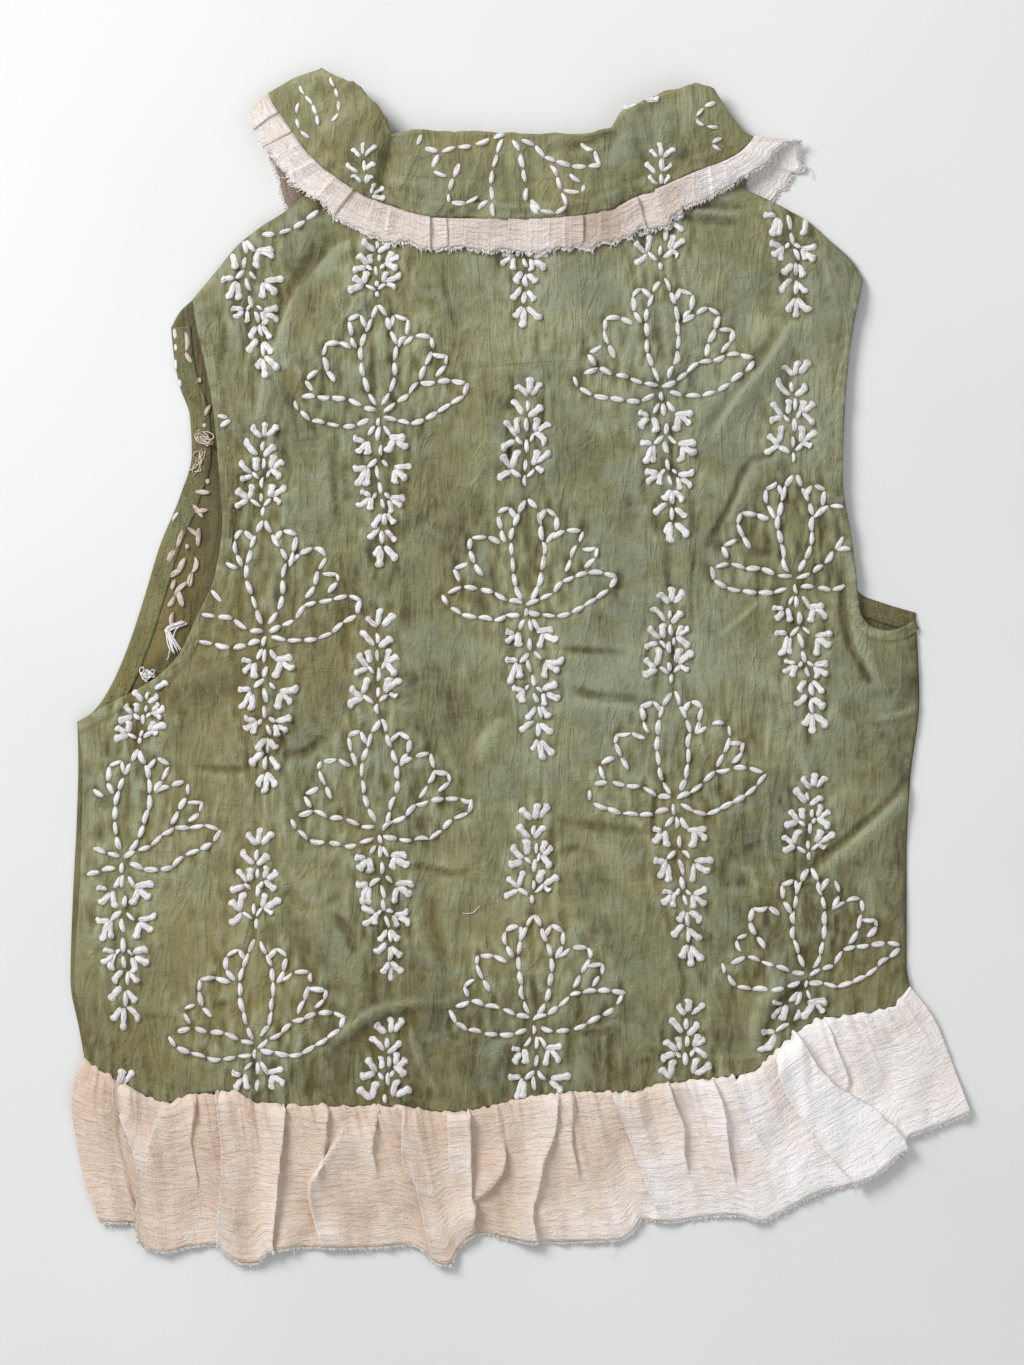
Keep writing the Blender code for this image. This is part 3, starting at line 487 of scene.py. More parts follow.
KNOTTED_BARS = (
    (-9, 74.3, -14.2, 79.2), (-8.3, 75.3, -6.1, 83.9), (-8.7, 72.9, -15.4, 69.1), (3.4, 76.7, 5.4, 84.2),
    (5.1, 76.7, 12.7, 81.5), (5.4, 74.9, 9.2, 72.2), (-6.3, 90.8, -11.4, 97.3), (-3.9, 92.1, -3.9, 99),
    (-6.9, 88.3, -13.5, 85.9), (4.4, 93.5, 6.5, 100), (5.8, 93.2, 10.6, 96.9), (4.7, 92.1, 10.2, 87),
    (-2.5, 102.1, -8.3, 109.3), (1, 101.4, 6.5, 106.6), (-0.8, 112.8, -5.6, 117.9), (1, 113.8, 2, 121.5),
    (3.4, 113.4, 8.2, 119.5), (-8.8, -16, -13.6, -14.9), (-8, -17.9, -12.2, -22.8),
    (-6.5, -17.1, -5.8, -24.3), (6.3, -15.2, 14.6, -14.1), (8.2, -16.4, 5.9, -23.9), (9.4, -16.7, 15, -20.5),
    (-7.6, -31.5, -13.6, -31.9), (-7.3, -33, -11.1, -42.1), (-6.2, -33.8, -6.5, -41.7),
    (9, -31.9, 17.7, -30.9), (9.7, -33.4, 15.8, -37.9), (9, -33.8, 7.9, -41.7), (-4.6, -48.1, -10, -46.6),
    (-5, -49.7, -10, -53.5), (-3.5, -49.3, -4.6, -55.7), (7.5, -48.9, 14.6, -47.4), (8.2, -51.2, 13.9, -54.6),
    (6.3, -50.8, 7.5, -56.8), (1, -58.7, -3.1, -64), (4.4, -58.7, 8.2, -63.8), (0.3, -66.3, -5.4, -72),
    (4.1, -68.2, 9, -73.1), (1.4, -76.9, -2, -82.6), (2.5, -78.4, 2.5, -87.5), (4.1, -77.3, 10, -83.5),
)
# Foot of the lotus, tip of its spire and end of its tail, for each sprig on the back
SPRIGS = (
    ((-217.8, -105.9), (-204, -8), (-220.5, -200.5)),
    ((-223.3, -340.7), (-221.7, -222.5), (-223, -430)),
    ((-154.6, 242.3), (-154, 360), (-142.5, 157)),
    ((-139.2, 18.4), (-142.5, 132.3), (-143.6, -71.2)),
    ((-145.2, -208.7), (-145.2, -90.5), (-145, -297)),
    ((-77.6, 139.4), (-78.7, 239.5), (-79.2, 53.6)),
    ((-77.6, -90.5), (-78.7, 29.4), (-74.8, -174.1)),
    ((-73.2, -312), (-73.2, -193.9), (-73, -400)),
    ((-0.6, 272.5), (-0.6, 393), (-0.6, 184.5)),
    ((3.3, 33.3), (3.3, 157), (7.7, -52)),
    ((7.7, -195), (6.6, -76.7), (7, -284)),
    ((77.6, 152.6), (77.6, 270), (80.9, 66.3)),
    ((84.7, -74), (80.9, 41.5), (90.2, -166.4)),
    ((93, -299.5), (90.2, -184), (94, -390)),
    ((146.9, 278), (146, 398), (148, 190)),
    ((150.7, 47), (149.1, 166.9), (157.9, -38.2)),
    ((157.9, -170.2), (159, -60.2), (125, -257)),
)
STITCH_PITCH = 8.6
STITCH_LENGTH = 7.9


def running_stitches(line, rng, pitch=STITCH_PITCH, size=STITCH_LENGTH):
    """Stitches along a line, as rows of start x, y and end x, y."""
    length = length_of(line)
    count = max(1, round(length / pitch))
    middles = (np.arange(count) + 0.5) / count + rng.normal(0, 0.04 / count, count)
    half = size / length / 2 * rng.uniform(0.86, 1.08, count)
    return np.column_stack([along(line, middles - half), along(line, middles + half)])


def sprig(foot, tip, tail, seed):
    """Stitches of one sprig, with its spire and tail stretched to end where they do on the cloth."""
    rng = np.random.default_rng(seed)
    foot, tip, tail = np.array(foot), np.array(tip), np.array(tail)
    rise, drop = tip[1] - foot[1], foot[1] - tail[1]

    def placed(points):
        x, y = points[:, 0], points[:, 1]
        on_spire = PETAL_TOP + (y - PETAL_TOP) * (rise - PETAL_TOP) / (SPIRE_TOP - PETAL_TOP)
        above = np.where(y > PETAL_TOP, on_spire, y)
        reach = np.where(y > 0, above, y * drop / -TAIL_END)
        lean = np.where(y > 0, reach / rise * (tip[0] - foot[0]), -reach / drop * (tail[0] - foot[0]))
        return np.column_stack([foot[0] + x + lean, foot[1] + reach])

    rows = []
    size = rng.normal(1.0, 0.02)
    for line in SPRIG_LINES:
        line = placed(np.array(line, float) * size + rng.normal(0, 0.7, (len(line), 2)))
        rows.append(running_stitches(line, rng))
    kinds = []
    for bars in (STEMS, KNOTTED_BARS):
        bars = np.array(bars, float)
        drift, turn = rng.normal(0, 0.45, (len(bars), 2)), rng.normal(0, 0.5, (len(bars), 2))
        kinds.append(np.column_stack([placed(bars[:, :2] + drift), placed(bars[:, 2:] + drift + turn)]))
    return np.concatenate(rows + kinds[:1]), kinds[1]


def inside(x, y, outline):
    """Whether places lie inside an outline."""
    within = np.zeros(np.shape(x), bool)
    for (ax, ay), (bx, by) in zip(outline, np.roll(outline, -1, axis=0)):
        if ay != by:
            crosses = ((ay > y) != (by > y)) & (x < ax + (y - ay) / (by - ay) * (bx - ax))
            within ^= crosses
    return within


def edges_of(step, *edges):
    """Edges that follow one another, as one line of points this far apart."""
    return np.concatenate([curve(edge, step)[:-1] for edge in edges])


back_outline = edges_of(2.0, SHOULDER_LEFT, BACK_ARMHOLE_LEFT, BACK_SIDE_LEFT, HEM, BACK_SIDE_RIGHT,
                        BACK_ARMHOLE_RIGHT, SHOULDER_RIGHT, NECK_BACK)
closed_outline = np.concatenate([back_outline, back_outline[:1]])


def on_the_back(rows):
    """The stitches whose middles lie on the back, clear of its turned edges."""
    clear = 3.5
    x, y = ((rows[:, :2] + rows[:, 2:]) / 2).T
    return rows[inside(x, y, back_outline) & (gap_to(x, y, closed_outline)[0] > clear)]


sprigs = [sprig(*ends, seed) for seed, ends in enumerate(SPRIGS)]
stitches = on_the_back(np.concatenate([plain for plain, _ in sprigs]))
knotted = on_the_back(np.concatenate([bars for _, bars in sprigs]))

# Where the stitches draw the cloth in: a mark at both ends of each stitch, and lighter ones below it
drawn = np.zeros((ROWS, COLUMNS))
for share, weight in ((0.0, 1.0), (0.25, 0.4), (0.5, 0.5), (0.75, 0.4), (1.0, 1.0)):
    marks = np.concatenate([rows[:, :2] * (1 - share) + rows[:, 2:] * share for rows in (stitches, knotted)])
    column, row = (marks - (WEST, SOUTH)).round().astype(int).T
    np.add.at(drawn, (row, column), weight)
drawn_close = blurred(drawn, 1.5) * 14
drawn_wide = blurred(drawn, 7.0) * 60


# The back: one panel of overdyed cotton, with its armhole, neck and hem edges turned under. Its surface
# puckers where the embroidery draws it in, and it is creased from lying folded.
def flat_cut(outline, cell, fine=None, fine_cell=None):
    """Points and triangles of a flat cut, evenly covered with corners, closer together where fine says."""
    low, high = outline.min(axis=0), outline.max(axis=0)
    closed = np.concatenate([outline, outline[:1]])
    points = [outline]
    for size in (cell, fine_cell):
        if size:
            row_height = size * 0.866
            rows = np.arange(low[1], high[1], row_height)
            x, y = np.meshgrid(np.arange(low[0], high[0], size), rows)
            x = x + (np.arange(len(rows)) % 2)[:, None] * size / 2
            x, y = x.ravel(), y.ravel()
            kept = inside(x, y, outline)
            if fine:
                kept &= fine(x, y) == (size == fine_cell)
            x, y = x[kept], y[kept]
            kept = gap_to(x, y, closed)[0] > 0.6 * size
            points.append(np.column_stack([x[kept], y[kept]]))
    points = np.concatenate(points)
    border = list(range(len(outline)))
    corners, _, faces, *_ = delaunay_2d_cdt([Vector(point) for point in points], [], [border], 1, 1e-4)
    return np.array([(corner.x, corner.y) for corner in corners]), faces


def add_piece(name, points, faces, material, replaced, values=None, wall=0.0):
    """A piece of cloth from points in millimetres, with its named values at each point."""
    mesh = bpy.data.meshes.new(name)
    mesh.from_pydata(np.asarray(points) / 1000.0, [], faces)
    for key, value in (values or {}).items():
        value = np.asarray(value, np.float32)
        if value.ndim == 1:
            mesh.attributes.new(key, "FLOAT", "POINT").data.foreach_set("value", value)
        else:
            mesh.attributes.new(key, "FLOAT_VECTOR", "POINT").data.foreach_set("vector", value.ravel())
    mesh.materials.append(material)
    mesh.shade_smooth()
    piece = bpy.data.objects.new(name, mesh)
    bpy.context.scene.collection.objects.link(piece)
    if wall:
        thicken = piece.modifiers.new("cloth", "SOLIDIFY")
        thicken.thickness = wall / 1000.0
        thicken.offset = 0.0
    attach(piece, "root")
    if replaced:
        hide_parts(*replaced)
    return piece


def turned_edge(points, faces, values, outline, turns):
    """Carries a cut's outline on as a narrow turning: each turn is a step inwards and a change of height."""
    count = len(outline)
    border = [int(np.argmin(((points[:, :2] - corner) ** 2).sum(axis=1))) for corner in outline]
    inwards = leftwards(unit(np.roll(outline, -1, axis=0) - np.roll(outline, 1, axis=0)))
    top = points[border]
    faces = list(faces)
    last = border
    for inward, drop in turns:
        ring = np.column_stack([outline + inwards * inward, top[:, 2] - drop])
        start = len(points)
        points = np.concatenate([points, ring])
        values = {key: np.concatenate([value, np.asarray(value)[border]]) for key, value in values.items()}
        now = list(range(start, start + count))
        for k in range(count):
            after = (k + 1) % count
            faces.append((last[after], last[k], now[k], now[after]))
        last = now
    return points, faces, values


# Creases: their line, height (a trough is negative), half-width and, where it isn't 1, their lean, over 1
# where the left side of the line, looking along it, is the gentle one
BACK_CREASES = (
    (((-109, 231), (-121, 209), (-131, 191)), -1.1, 5.0),
    (((-98, 231), (-112, 217), (-123, 206), (-130, 191), (-135, 173), (-142, 154), (-144, 135)),
     1.7, 3.2, 1.9),
    (((-44, 215), (-40, 200), (-36, 184)), -0.6, 1.7),
    (((74, 201), (75.5, 173), (74, 161)), -0.8, 1.6),
    (((8.8, 186), (9.5, 168)), -0.5, 1.5),
    (((87, 253), (105, 252), (122, 251)), -0.9, 2.2),
    (((90, 246), (101, 244), (117, 243)), -0.9, 2.4),
    (((88, 249), (119, 247)), 0.6, 2.0),
    (((148, 187), (136, 167), (122, 151), (107, 130)), 1.9, 3.0, 1.9),
    (((144, 189), (130, 168), (116, 149), (103, 130)), -1.1, 4.0),
    (((164, 226), (169, 213), (173, 199)), 0.5, 1.3),
    (((138, 222), (135, 191)), -0.6, 5.0),
    (((-107, 126), (-106, 101), (-104.5, 77)), 0.7, 4.0, 0.5),
    (((-96, 58), (-94, 36), (-98, 11)), -0.9, 4.5),
    (((20, 9.5), (35, 8), (58, 6.5)), -0.9, 1.8),
    (((31, -14), (46, -18), (67, -19.5)), -1.2, 2.8),
    (((35, -22), (65, -24.5)), 0.8, 4.0),
    (((137, 115), (127, 113), (121, 105), (118, 95), (108, 76), (102, 66)), -1.2, 1.9),
    (((131, 108), (123, 97), (114, 77)), 1.1, 5.0),
    (((135, 41.5), (129, 33), (110, 17)), 0.8, 1.4),
    (((176, 50), (176.5, 33), (181.5, 10), (192, -9)), -1.7, 1.9),
    (((180, 36), (186, 11), (197, -11)), 0.9, 4.0),
    (((21, -85), (43, -89), (71, -92)), -0.8, 2.5),
    (((21, -103), (33, -100)), -0.6, 2.0),
    (((137, -13), (136, -36), (135, -55), (135, -77)), 0.5, 1.3),
    (((136, -74), (134, -96), (138, -115)), 0.7, 1.4),
    (((118, -110), (127, -114), (130, -129)), 0.9, 2.6),
    (((122, -103), (131, -97)), -0.7, 2.0),
    (((211, -64), (200, -77), (186, -89), (173, -100), (163, -107), (159, -115)), -1.5, 2.3),
    (((212, -71), (197, -85), (181, -99), (170, -108)), 1.7, 5.5),
    (((218, -23), (206, -28), (195, -29.5)), 0.8, 2.0),
    (((149, -121), (161, -121)), -0.9, 1.3),
    (((160, -173), (144, -183), (136, -198), (131.5, -211)), -1.3, 2.0),
    (((140, -176), (131.5, -189), (127, -206)), 1.8, 5.0),
    (((212, -160), (197, -163), (181, -166)), -0.4, 2.0),
    (((104, -215), (120, -216), (132, -213)), 0.4, 1.2),
    (((49.5, -200), (49.5, -228)), -0.9, 2.0),
    (((65, -219), (74, -217)), -0.7, 1.6),
    (((98, -167), (101, -176)), -0.5, 2.0),
    (((-101, -138), (-93, -150), (-91, -157)), -1.3, 2.3),
    (((-49, -132), (-47, -151), (-41, -165)), -1.0, 4.0),
    (((-105, -207), (-88.5, -195), (-77.5, -188), (-50, -184)), 1.6, 4.0, 0.6),
    (((-102, -214), (-87.5, -203), (-75, -195), (-50, -188.5)), -1.3, 4.5),
    (((-87.5, -195), (-82.5, -207), (-76, -218)), -1.1, 2.3),
    (((-63, -195), (-58, -211), (-46, -235)), 1.2, 2.3),
    (((-97, -211), (-99.5, -229)), -0.9, 4.0),
    (((7, -173), (9, -189.5)), -1.0, 1.6),
    (((27, -203), (54.5, -200.5)), -0.7, 1.6),
    (((50, -203), (52, -228)), -0.8, 1.8),
    (((-181, -132), (-181, -143)), -0.5, 2.0),
    (((-211, -192), (-185, -195)), -0.4, 1.5),
    (((-168, -188), (-160, -185)), -0.7, 1.4),
    (((-159, -228), (-152, -226.5)), -1.0, 1.3),
    (((-115, -228), (-119, -239)), -1.3, 2.4),
    (((-108, -132), (-99.5, -126)), -0.6, 2.0),
    (((-178, -56), (-171, -57.5), (-149, -57.5)), -1.2, 1.7),
    (((-129, -49), (-120, -48.5), (-109, -41)), -1.4, 2.4),
    (((-130, -125), (-116, -133)), -0.7, 3.0),
    (((-24, -50), (-14, -33)), 0.9, 4.5),
    (((-58, -110), (-33.5, -115), (-28, -112.5)), -0.8, 2.0),
    (((80, 67), (81, 43)), -0.9, 1.5),
    (((-82, 179), (-80, 146)), -0.7, 1.5),
)
creases = np.zeros((ROWS, COLUMNS))
add_folds(creases, BACK_CREASES, 1.2)

# Short creases beside every sprig, and puckers up from the hem's seam, where the frill is gathered on
rng = np.random.default_rng(7)
for foot, tip, tail in SPRIGS:
    for _ in range(22):
        y = rng.uniform(tail[1] - 6, tip[1] + 10)
        spread = 17 if foot[1] < y < foot[1] + PETAL_TOP else 11
        x = foot[0] + rng.uniform(-spread, spread)
        reach = rng.uniform(7, 19)
        bend = rng.normal(0, 1.2)
        if SOUTH + 25 < y < 260 and abs(x) < 230:
            line = ((x, y - reach), (x + bend, y), (x, y + reach))
            rise = rng.choice((-0.75, -0.6, 0.4)) * rng.uniform(0.6, 1.1)
            add_fold(creases, line, rise, rng.uniform(0.9, 1.5))
for x in rng.uniform(-236, 211, 130):
    y = np.interp(x, *np.transpose(HEM))
    reach = rng.uniform(4, 15)
    line = ((x, y), (x + rng.normal(0, 0.06) * reach, y + reach))
    add_fold(creases, line, rng.choice((-0.7, 0.5)) * rng.uniform(0.5, 1.0), rng.uniform(0.8, 1.7))

# Puckers near the stitches, and the turned edge of the armholes, a double layer with a stitched groove
near_stitch = np.clip(drawn_wide, 0, 1.5)
puckers = 0.3 * near_stitch * crumple(11, 3.5, 9) + 0.12 * crumple(12, 8, 14, 0.3)
puckers += 0.1 * crumple(14, 14, 6)
armhole_gap = gap_to_nearest((BACK_ARMHOLE_LEFT, BACK_ARMHOLE_RIGHT), 8.0)
turned_in = smoothstep((6.0 - armhole_gap) / 1.0) * (1 + 0.6 * crumple(15, 3.5, 3.5))
detail = 1.5 * creases - 0.36 * np.clip(drawn_close, 0, 2.2) + puckers
detail += 0.34 * turned_in - 0.4 * np.exp(-(((armhole_gap - 6.6) / 0.9) ** 2))
back_surface = back_lie + detail + 0.35 * crumple(13, 30, 44)


def raised_square(x, y, half_width, half_height):
    """Where a smaller piece of cloth below lifts this one, about its middle, with a soft edge."""
    in_width = smoothstep((half_width - np.abs(grid_x - x)) / 1.5)
    return in_width * smoothstep((half_height - np.abs(grid_y - y)) / 1.5)


patch_share = raised_square(0.5, 195.5, 34, 30.5)
tab_share = raised_square(4, 163.5, 6, 8.5)
back_surface += 0.3 * patch_share + 0.15 * tab_share

# Fine and broad relief: it gets painted light on its ridges and painted shade in its hollows
relief = detail - blurred(detail, 2.6)
broad = detail + folds * 0.4
slow_relief = blurred(broad, 2.0) - blurred(broad, 11.0)

# The dye: x, y and radius of broad places, how much lighter they are, and how far they have turned brown
DYE = (
    (-170, -150, 62, 0.34, 0.55), (-225, -215, 40, -0.2, 0.4), (131, 146, 30, 0.26, -0.45),
    (-90, -228, 34, -0.24, 0.1), (-110, 193, 26, -0.1, 0.12), (192, -30, 40, -0.1, 0.14),
    (215, -20, 36, -0.14, 0.0), (130, -120, 44, -0.1, -0.1), (190, -160, 40, -0.2, 0.35),
    (150, 165, 62, 0.16, -0.35), (60, 180, 60, 0.18, -0.3), (40, 20, 60, 0.14, -0.25),
    (60, -10, 34, 0.08, -0.3), (-120, 20, 40, -0.2, 0.35), (-150, -20, 34, -0.16, 0.3),
    (-200, 30, 40, 0.02, 0.35), (-90, -160, 40, -0.18, 0.15), (-30, -225, 60, -0.24, 0.1),
    (70, -225, 36, -0.14, 0.1), (90, -130, 40, 0.14, 0.0), (-20, -80, 50, 0.1, 0.1),
    (-60, 130, 44, -0.05, 0.05), (-90, 215, 34, 0.06, -0.1), (-150, 100, 40, -0.05, 0.2),
    (-40, 60, 44, -0.1, 0.15), (100, 60, 36, -0.05, -0.1), (160, -20, 34, 0.14, -0.2),
    (0, -150, 50, 0.1, 0.2), (-200, -80, 30, -0.04, 0.3), (-130, 170, 22, 0.14, -0.1),
)
tone_field = 0.05 * crumple(21, 36, 50) + 0.1 * patch_share + 0.12 * tab_share
warm_field = 0.12 + 0.12 * crumple(22, 40, 50)
for x, y, radius, lighter, browner in DYE:
    bell = np.exp(-(((grid_x - x) ** 2 + (grid_y - y) ** 2) / radius ** 2))
    tone_field += lighter * bell
    warm_field += browner * bell
# Painted light on the ridges, and painted shade in the hollows and beside the stitches; the hollows are also
# made browner
tone_field += np.clip(0.38 * relief + 0.24 * slow_relief, -0.35, 0.35)
warm_field += np.clip(-0.3 * relief - 0.25 * slow_relief, -0.4, 0.25)
dark_field = np.clip(0.36 * drawn_close - 0.55 * relief - 0.12 * slow_relief, 0, 1)


def dye_and_painted_shading_at(flat, painted_shade, lighter=0.0, browner=0.0):
    """The cloth's tone, warmth and painted shade at these places: the dye, with painted light and shade from
    the relief.
    """
    return {"tone": at(tone_field, *flat.T) + lighter, "warm": at(warm_field, *flat.T) + browner,
            "painted_shade": painted_shade}


# The cut is finer where the surface is uneven, and its edge is turned under in three steps
CELL, FINE_CELL, EVEN_RELIEF = 2.9, 1.52, 0.09
EDGE_TURNS = ((0.1, 0.45), (0.9, 0.7), (6.0, 0.75))
uneven = blurred((np.abs(relief) > EVEN_RELIEF) | (drawn > 0), 1.6) > 0.16
flat, faces = flat_cut(back_outline, CELL, lambda x, y: at(uneven, x, y) > 0.5, FINE_CELL)
points = np.column_stack([flat, at(back_surface, *flat.T)])
values = dye_and_painted_shading_at(flat, at(dark_field, *flat.T))
points, faces, values = turned_edge(points, faces, values, back_outline, EDGE_TURNS)
back = add_piece("back_cloth", points, faces, green_outside, ["back"], values)


# The fronts: two panels of the same cotton with an open centre front, lying face down on the surface.
# Only the left one's inner side shows, through the armhole, where it is darker and a little rumpled.
FRONT_TIP_LEFT = ((-180.5, 201), (-187.5, 194.5), (-192.5, 185.5))
FRONT_ARMHOLE_LEFT = ((-192.5, 185.5), (-191, 171), (-187.5, 153), (-182, 137), (-181, 116), (-187.5, 93),
                      (-198.5, 66), (-207, 38), (-215.5, 12), (-227, -14), (-236, -26), (-244, -31))
FRONT_SIDE_LEFT = ((-244, -31), (-243.5, -55), (-244.5, -89), (-246.5, -129), (-247.8, -173), (-243, -200),
                   (-240, -216.5))
FRONT_ARMHOLE_RIGHT = ((217, 29), (208, 31.5), (197, 35), (187, 39), (180.5, 52), (178, 70), (173, 103),
                       (174.5, 146), (178, 180), (188, 212))
FRONT_SIDE_RIGHT = ((214, -177), (212, -165), (212, -107), (214, -63), (219, -19), (217, 29))
NECK_LEFT = ((-2, 157.2), (-50, 204.6), (-88, 249.6), (-99.4, 268), (-103.8, 273.2))
NECK_RIGHT = ((101, 273.5), (96.9, 268), (86, 247.6), (50, 204.6), (2, 157.2))
CENTRE_EDGE, FRONT_WALL, FRONT_LOWEST = 0.8, 0.5, 0.28

front_surface = front_lie - 0.25 + 0.07 * crumple(31, 18, 30) + 0.2 * np.clip(drawn_wide, 0, 1)
front_surface = np.maximum(front_surface, FRONT_LOWEST)
ARMHOLE_CREASES = (
    (((-178, 150), (-186, 96)), 1.0, 4, 1.6), (((-190, 60), (-172, 96)), 0.8, 5, 0.7),
    (((-204, 20), (-182, 40)), 1.1, 5, 1.5), (((-214, -6), (-190, 12)), 0.9, 4, 1.4),
    (((-183, 176), (-188, 160)), 0.8, 4, 1.0),
)
add_folds(front_surface, ARMHOLE_CREASES)

hem_curve = curve(HEM, 3.0)
hem_middle = np.interp(0.0, hem_curve[:, 0], hem_curve[:, 1])
left_hem = hem_curve[hem_curve[:, 0] < -CENTRE_EDGE - 1]
right_hem = hem_curve[:-1][hem_curve[:-1, 0] > CENTRE_EDGE + 1]
front_outlines = {
    "front_left": np.concatenate([
        edges_of(3.0, SHOULDER_LEFT, FRONT_TIP_LEFT, FRONT_ARMHOLE_LEFT, FRONT_SIDE_LEFT), left_hem,
        [(-CENTRE_EDGE, hem_middle)], curve(((-CENTRE_EDGE, -234), (-CENTRE_EDGE, 156)), 3.0),
        edges_of(3.0, NECK_LEFT)]),
    "front_right": np.concatenate([
        [(CENTRE_EDGE, hem_middle)], right_hem,
        edges_of(3.0, FRONT_SIDE_RIGHT, FRONT_ARMHOLE_RIGHT, SHOULDER_RIGHT, NECK_RIGHT),
        curve(((CENTRE_EDGE, 156), (CENTRE_EDGE, -234)), 3.0)]),
}
# It is darker near the back's armhole edges, which shade it
by_the_back = np.exp(-((armhole_gap / 8.0) ** 2))
for name, outline in front_outlines.items():
    flat, faces = flat_cut(outline, 4.5, fine=lambda x, y: (x < -158) & (y > -40), fine_cell=2.1)
    points = np.column_stack([flat, at(front_surface, *flat.T)])
    shaded = np.clip(at(drawn_close, *flat.T) * 0.3 + 0.9 * at(by_the_back, *flat.T), 0, 1)
    values = dye_and_painted_shading_at(flat, shaded, -0.1, 0.3)
    front = add_piece(name + "_cloth", points, faces, green_inside, [name], values,
                      FRONT_WALL)


# Facings and patch: a bias strip of the outer cotton is sewn inside each front's armhole with two rows of
# zigzag stitches, and a square patch of the cotton is sewn inside the back below the neck.
green_facing = green_cotton("green_cotton_facing", (136, 137, 102), (116, 115, 80), (80, 74, 44),
                            (112, 118, 92))
FACING_WIDTH = 10.5
FACING_ROWS = 8
FACING_WALL, PATCH_WALL = 0.35, 0.3
FACING_RISE, FACING_GAP, PATCH_DEPTH = 0.75, 0.3, 1.15
PATCH_CORNERS = ((-31.5, 163.5), (32.5, 168), (31.5, 224.5), (-35.5, 224.5))


def beside(line, gap):
    """A line of points carried this far to its left."""
    return line + leftwards(unit(np.gradient(line, axis=0))) * gap


def grid_faces(columns, rows):
    """Faces of a grid of points kept column by column."""
    k = (np.arange(columns)[:, None] * (rows + 1) + np.arange(rows)[None, :]).ravel()
    return np.column_stack([k, k + rows + 1, k + rows + 2, k + 1]).tolist()


facing_surface = front_surface + FACING_RISE
for name, armhole, long in (("left", FRONT_ARMHOLE_LEFT, 0.236), ("right", FRONT_ARMHOLE_RIGHT, 0.212)):
    line = curve(armhole, 1.5)
    across = np.linspace(0, 1, FACING_ROWS + 1)
    flat = np.stack([beside(line, FACING_GAP + FACING_WIDTH * v) for v in across], axis=1)
    rounded = 0.45 * np.sin(math.pi * np.clip(across, 0.02, 0.98)) ** 0.5
    puckered = np.random.default_rng(71).normal(0, 0.07, flat.shape[:2])
    height = at(facing_surface, flat[:, :, 0], flat[:, :, 1]) - 0.3 + rounded + puckered
    points = np.concatenate([flat, height[:, :, None]], axis=2).reshape(-1, 3)
    # Painted shade: a little along the row at the armhole's edge, and much over the whole right facing, which
    # lies in shade under the back
    shaded = np.tile((across < 0.1) * 0.3 + (name == "right") * 1.1, len(line))
    values = dye_and_painted_shading_at(points[:, :2], shaded, browner=0.1)
    faces = grid_faces(len(line) - 1, FACING_ROWS)
    facing = add_piece(f"armhole_facing_{name}_cloth", points, faces, green_facing,
                       [f"armhole_facing_{name}"], values, FACING_WALL)

patch_edges = zip(PATCH_CORNERS, PATCH_CORNERS[1:] + PATCH_CORNERS[:1])
flat, faces = flat_cut(edges_of(3.0, *patch_edges), 3.0)
points = np.column_stack([flat, at(back_surface, *flat.T) - PATCH_DEPTH])
patch = add_piece("neck_patch_cloth", points, faces, green_inside, ["neck_patch"],
                  dye_and_painted_shading_at(flat, np.zeros(len(flat))), PATCH_WALL)


# The collar: a wide strip of the embroidered cotton, folded lengthwise. It stands up from the neck, rolls
# over and falls outwards over the back; at both sides it turns under and runs down the fronts.
# Heights of its seam, roll, outer edge and frill at each kind of place, the radius of its roll, and the way
# that its right side faces there, in degrees up from level
LAYERS = {
    "upper": {"seam": 8.0, "roll": 10.4, "edge": 10.4, "frill": 10.1, "radius": 2.1, "faces": 90},
    "horn": {"seam": 7.6, "roll": 11.8, "edge": 11.6, "frill": 10.2, "radius": 3.0, "faces": 82},
    "side": {"seam": 6.3, "roll": 10.2, "edge": 9.4, "frill": 8.8, "radius": 2.6, "faces": 55},
    "bend": {"seam": 5.7, "roll": 8.8, "edge": 8.0, "frill": 7.4, "radius": 2.4, "faces": 30},
    "turn": {"seam": 5.0, "roll": 6.2, "edge": 5.8, "frill": 5.2, "radius": 2.2, "faces": 0},
    "tuck": {"seam": 3.4, "roll": 3.1, "edge": 2.5, "frill": 2.2, "radius": 1.6, "faces": -60},
    "under": {"seam": 3.2, "roll": 1.9, "edge": 0.6, "frill": 0.6, "radius": 1.3, "faces": -90},
}
